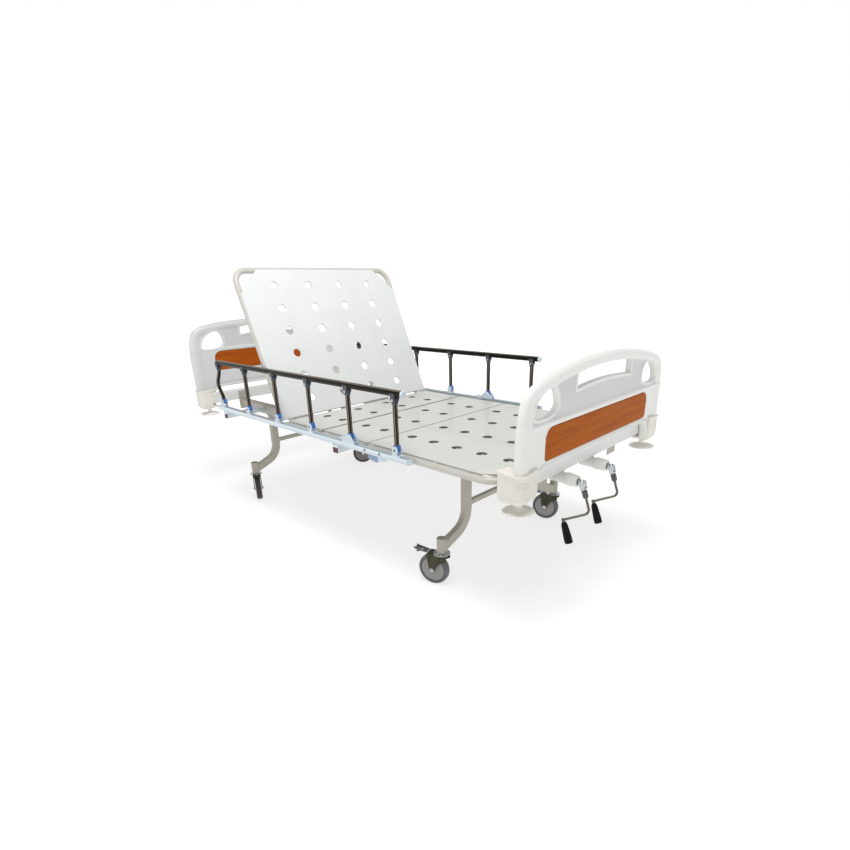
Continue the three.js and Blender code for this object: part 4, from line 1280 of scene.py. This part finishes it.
for hand in HANDS:
    names = [f"rail_fold_{hand}", *(f"post_{i}_fold_{hand}" for i in range(2, POST_COUNT + 1))]
    posts = [JOINT[name].x for name in names]
    y = JOINT[names[0]].y
    rail_bar(hand, y, posts)
    brackets, pins = zip(*(post_bracket(x, y) for x in posts))
    brackets = joined(*brackets, latch_housing(posts[LATCH_POST], y))
    mesh_piece(f"post_brackets_{hand}", brackets, PIVOT_WHITE, "bed_frame")
    mesh_piece(f"post_pins_{hand}", joined(*pins), CLAMP, "bed_frame", slot="chrome_steel")
    for i, x in enumerate(posts, 1):
        body = f"post_{i}_{hand}"
        dark, ridges = post_tube(x, y, i == 1)
        mesh_piece(f"{body}_tube", dark, RAIL_STEEL, body, f"rail_post_{i}_{hand}")
        # Ridges in lighter steel: painted reflection lines.
        mesh_piece(f"{body}_ridges", ridges, RAIL_HIGHLIGHT, body)
        head, foot = post_ends(x, y)
        mesh_piece(f"{body}_head", head, CLAMP, body)
        mesh_piece(f"{body}_boot", foot, PIVOT_BLUE, body)
    top_rail(hand, y, posts)
    latch_lever(hand, y)


# ---------- crank drives ----------
LEAN = 20
ARM = 107
THROW = 88
SWEEP = 38
ROD_R = 4.2
SPINDLE_R = 8
PUSH_R = 14
TUBE_LENGTH = 330
HOUSING = cad("crank_housing")


def crank_housings():
    """Moulded cones that carry the spindles, each hung from the end beam by a flared neck."""
    parts = []
    plate_z = HOUSING[1].z
    z = JOINT["leg_screw_turn"].z
    length = HOUSING[1].x - HOUSING[0].x
    for y in DRIVE_Y.values():
        cone = lathe([
            (9.5, 0), (15, 0), (17, 1.5), (17.6, 6), (17.6, 14), (16.6, 15.5), (16.8, 18), (17.8, 22),
            (18.6, 56), (20, 60), (21.6, 63), (22, 66), (21.8, 70), (20.8, 89), (19.8, 91),
            (18.8, length - 3), (17, length), (12, length), (11.5, length - 2), (9.5, length - 2), (9.5, 0),
        ], 44)
        parts.append(moved(spun(cone, 90, "Y"), HOUSING[0].x, y, z))
        web = outline(
            (2, 0), (44, 0), [(46, -5), (56, -8), (64, -13)], (58, -24), (6, -24),
            [(2, -14), (2, -6), (2, 0)], steps=6,
        )[:-1]
        parts.append(cheeks(web, 3, (HOUSING[0].x, y, plate_z), 7, bevel=0.9))
        parts.append(moved(soft_box((4, -24, -4.2), (42, 24, 0), 1.4), HOUSING[0].x, y, plate_z))
        curve_in, curve_out = [(-17, -4), (-14, -8), (-13, -16)], [(14, -8), (17, -4), (24, 0)]
        flare = outline((-24, 0), curve_in, (13, -16), curve_out, steps=6)
        parts.append(stood(YZ, flare[:-1], 30, (HOUSING[0].x + 22, y, plate_z - 2), bevel=1.2))
    mesh_piece("crank_housings", joined(*parts), HOUSING_PLASTIC, "bed_frame", "crank_housing")


def knurled(radius, z0, z1, sides=40, rise=0.5):
    """A turned sleeve with fine grooves along its length."""
    angles = np.arange(sides) * 2 * np.pi / sides
    ripple = np.where(np.arange(sides) % 2, rise, -rise)
    rings = []
    for z, inset in ((z0, 1.2), (z0 + 1.5, 0), (z1 - 1.5, 0), (z1, 1.2)):
        reach = radius - inset + ripple
        rings.append(np.column_stack((reach * np.cos(angles), reach * np.sin(angles), np.full(sides, z))))
    faces = [list(range(sides))[::-1], [3 * sides + k for k in range(sides)]]
    for row in range(0, 3 * sides, sides):
        for k in range(sides):
            n = (k + 1) % sides
            faces.append([row + k, row + n, row + sides + n, row + sides + k])
    return np.vstack(rings), faces


def spindle(length, thread=160, pitch=5):
    """Threaded rod with a plain journal at the crank end."""
    root = SPINDLE_R - 1.6
    profile = [(0, 0.5)]
    for z in np.arange(0.5, thread - pitch, pitch):
        profile += [(root, z), (SPINDLE_R, z + 1.4), (SPINDLE_R, z + 2.8), (root, z + 4.2)]
    profile += [(root, thread), (SPINDLE_R, thread + 1), (SPINDLE_R, length - 6)]
    profile += [(6.5, length - 4), (6.5, length), (0, length)]
    return spun(lathe(profile, 24), 90, "Y")


def push_tube(drive, y, z):
    """Drive nut tube with a fork whose slot takes the lever's cross pin."""
    pin_x = cad(f"{drive}_push_tube")[0].x + 12
    pin_z = FRAME_Z - 55
    top = z - pin_z + 9
    plate = outline((-12, -11), [(-12, top - 9), (-8, top), (2, top)], (40, top), (40, -11), steps=6)
    slot = rounded_rect(13.2, 28, 6.4, 6) + (0, 3)
    fork = cheeks(plate, 5, (pin_x, y, pin_z), 7.1, holes=[slot])
    web = soft_box((pin_x + 34, y - 9, z - 11), (pin_x + 42, y + 9, z + 8.5), 1.2)
    bore, rim = SPINDLE_R + 1.5, TUBE_LENGTH - 38
    body_tube = lathe([
        (bore, 98), (bore, rim), (PUSH_R - 1, rim), (PUSH_R, rim - 1), (PUSH_R, rim - 20),
        (PUSH_R - 1.2, rim - 21), (PUSH_R - 1.2, 1), (PUSH_R - 2, 0), (0, 0), (0, 98), (bore, 98),
    ], 36)
    return joined(fork, web, moved(spun(body_tube, 90, "Y"), pin_x + 38, y, z))


def crank(drive):
    y = DRIVE_Y[drive]
    origin = JOINT[f"{drive}_screw_turn"]
    hang = Matrix.Translation(origin) @ Matrix.Rotation(math.radians(-LEAN), 4, "Y")
    nut = push_tube(drive, y, origin.z)
    mesh_piece(f"{drive}_nut_tube", nut, STEEL, f"{drive}_drive_nut", f"{drive}_push_tube")

    start = cad(f"{drive}_spindle")[0].x
    ball = lathe([(9 * math.cos(a), 9 * math.sin(a)) for a in np.linspace(-math.pi / 2, math.pi / 2, 13)], 28)
    screw = joined(moved(spindle(origin.x - start), start, y, origin.z), moved(ball, *origin))
    mesh_piece(f"{drive}_drive_spindle", screw, CHROME, f"{drive}_drive_screw", f"{drive}_spindle")

    swing = f"{drive}_crank_swing"
    ears = cheeks(cheek_ring(13, -23, -2, 7.6), 3.6, (0, 0, 0), 11.6, bevel=0.9)
    bridge = soft_box((-6.5, -13.4, -26), (6.5, 13.4, -20), 1.8)
    head = lathe([(0, 0), (4.6, 0), (4.6, 1), (3, 1.8), (0, 2)], 20)
    heads = [faced(head, side, (0, side * 13.2, -2)) for side in SIDES]
    yoke = placed(joined(ears, bridge, *heads), hang)
    mesh_piece(f"{drive}_joint_yoke", yoke, CHROME, swing, f"{drive}_crank_joint")
    nose = lathe([(4.8, -54), (7.4, -54), (8, -53), (8, -50), (4.8, -50), (4.8, -54)], 32)
    mesh_piece(f"{drive}_joint_sleeve", placed(joined(knurled(9, -51, -27), nose), hang), STEEL, swing)

    away = math.radians(180 + SWEEP)
    foot = Vector((THROW * math.cos(away), THROW * math.sin(away), -ARM))
    arm = fillet([(0, 0, -36), (0, 0, -ARM), foot], 16, 12)
    rod = sweep(arm, circle(ROD_R, 24), Vector((math.sin(away), -math.cos(away), 0)))
    eye = moved(lathe([(0, -7.8), (5.4, -7.8), (6, -7), (6, 4), (5, 5), (0, 5.4)], 28), *foot)
    arm = placed(joined(rod, eye), hang)
    mesh_piece(f"{drive}_crank_rod", arm, STEEL, f"{drive}_crank_arm", f"{drive}_crank")

    top = -ARM - 8.3
    profile = [
        (0, 0), (7.2, 0), (8, -0.8), (8.6, -4), (10, -6), (11, -30), (12.8, -58), (13.8, -66), (13.9, -70),
        (12.6, -73.4), (5, -74), (0, -74),
    ]
    grip = moved(lathe([(r, top + h) for r, h in profile], 40), foot.x, foot.y)
    ribs = []
    for angle in np.arange(10) * math.pi / 5:
        way = Vector((math.cos(angle), math.sin(angle), 0))
        path = [Vector((foot.x, foot.y, top - h)) + way * r for h, r in ((10, 10), (62, 13.1))]
        ribs.append(sweep(path, circle(1, 8), Vector((-way.y, way.x, 0))))
    cover = placed(joined(grip, *ribs), hang)
    mesh_piece(f"{drive}_grip_cover", cover, BLACK, f"{drive}_crank_grip", f"{drive}_grip")


crank_housings()
for drive in DRIVE_Y:
    crank(drive)


# ---------- floor and light ----------
def lit_floor():
    """Matt white floor that gives off more light away from the middle, so that it has no horizon."""
    shader = Shader("floor_pale", 0.8, specular=0.1)
    shader.surface.inputs["Base Color"].default_value = (0.42, 0.42, 0.42, 1)
    shader.surface.inputs["Emission Color"].default_value = (1, 1, 1, 1)
    distance = shader.node("ShaderNodeVectorMath")
    distance.operation = "LENGTH"
    shader.link(shader.place, distance.inputs[0])
    glow = shader.spread(distance.outputs["Value"], 0.66, 1.0, 1.0, 3.6)
    shader.link(glow, shader.surface.inputs["Emission Strength"])
    return shader.material


def sky():
    """White to look at. As a light it is white around the horizon and dimmer overhead."""
    world = bpy.data.worlds.new("studio")
    nodes = Nodes(world)
    dimmed = nodes.spread(nodes.axis(nodes.coordinates["Generated"], "Z"), 1.0, 0.22, 0.39, 0.5)
    seen = nodes.node("ShaderNodeLightPath").outputs["Is Camera Ray"]
    background = nodes.tree.nodes["Background"]
    background.inputs["Color"].default_value = (1, 1, 1, 1)
    nodes.link(nodes.maths("MAXIMUM", dimmed, seen), background.inputs["Strength"])
    bpy.context.scene.world = world


def studio():
    bpy.ops.mesh.primitive_plane_add(size=60)
    floor = bpy.context.object
    floor.name = "floor"
    floor.data.materials.append(lit_floor())
    sky()
    bpy.context.scene.view_settings.view_transform = "Standard"
    for name, place, size, power in (("key", (0.8, -0.8, 3.6), 1.5, 90), ("fill", (3.2, -3.0, 1.6), 2.0, 3)):
        data = bpy.data.lights.new(name, "AREA")
        data.size = size
        data.energy = power
        lamp = bpy.data.objects.new(name, data)
        bpy.context.collection.objects.link(lamp)
        lamp.location = place
        lamp.rotation_euler = (Vector((0, 0, 0.5)) - Vector(place)).to_track_quat("-Z", "Y").to_euler()


studio()
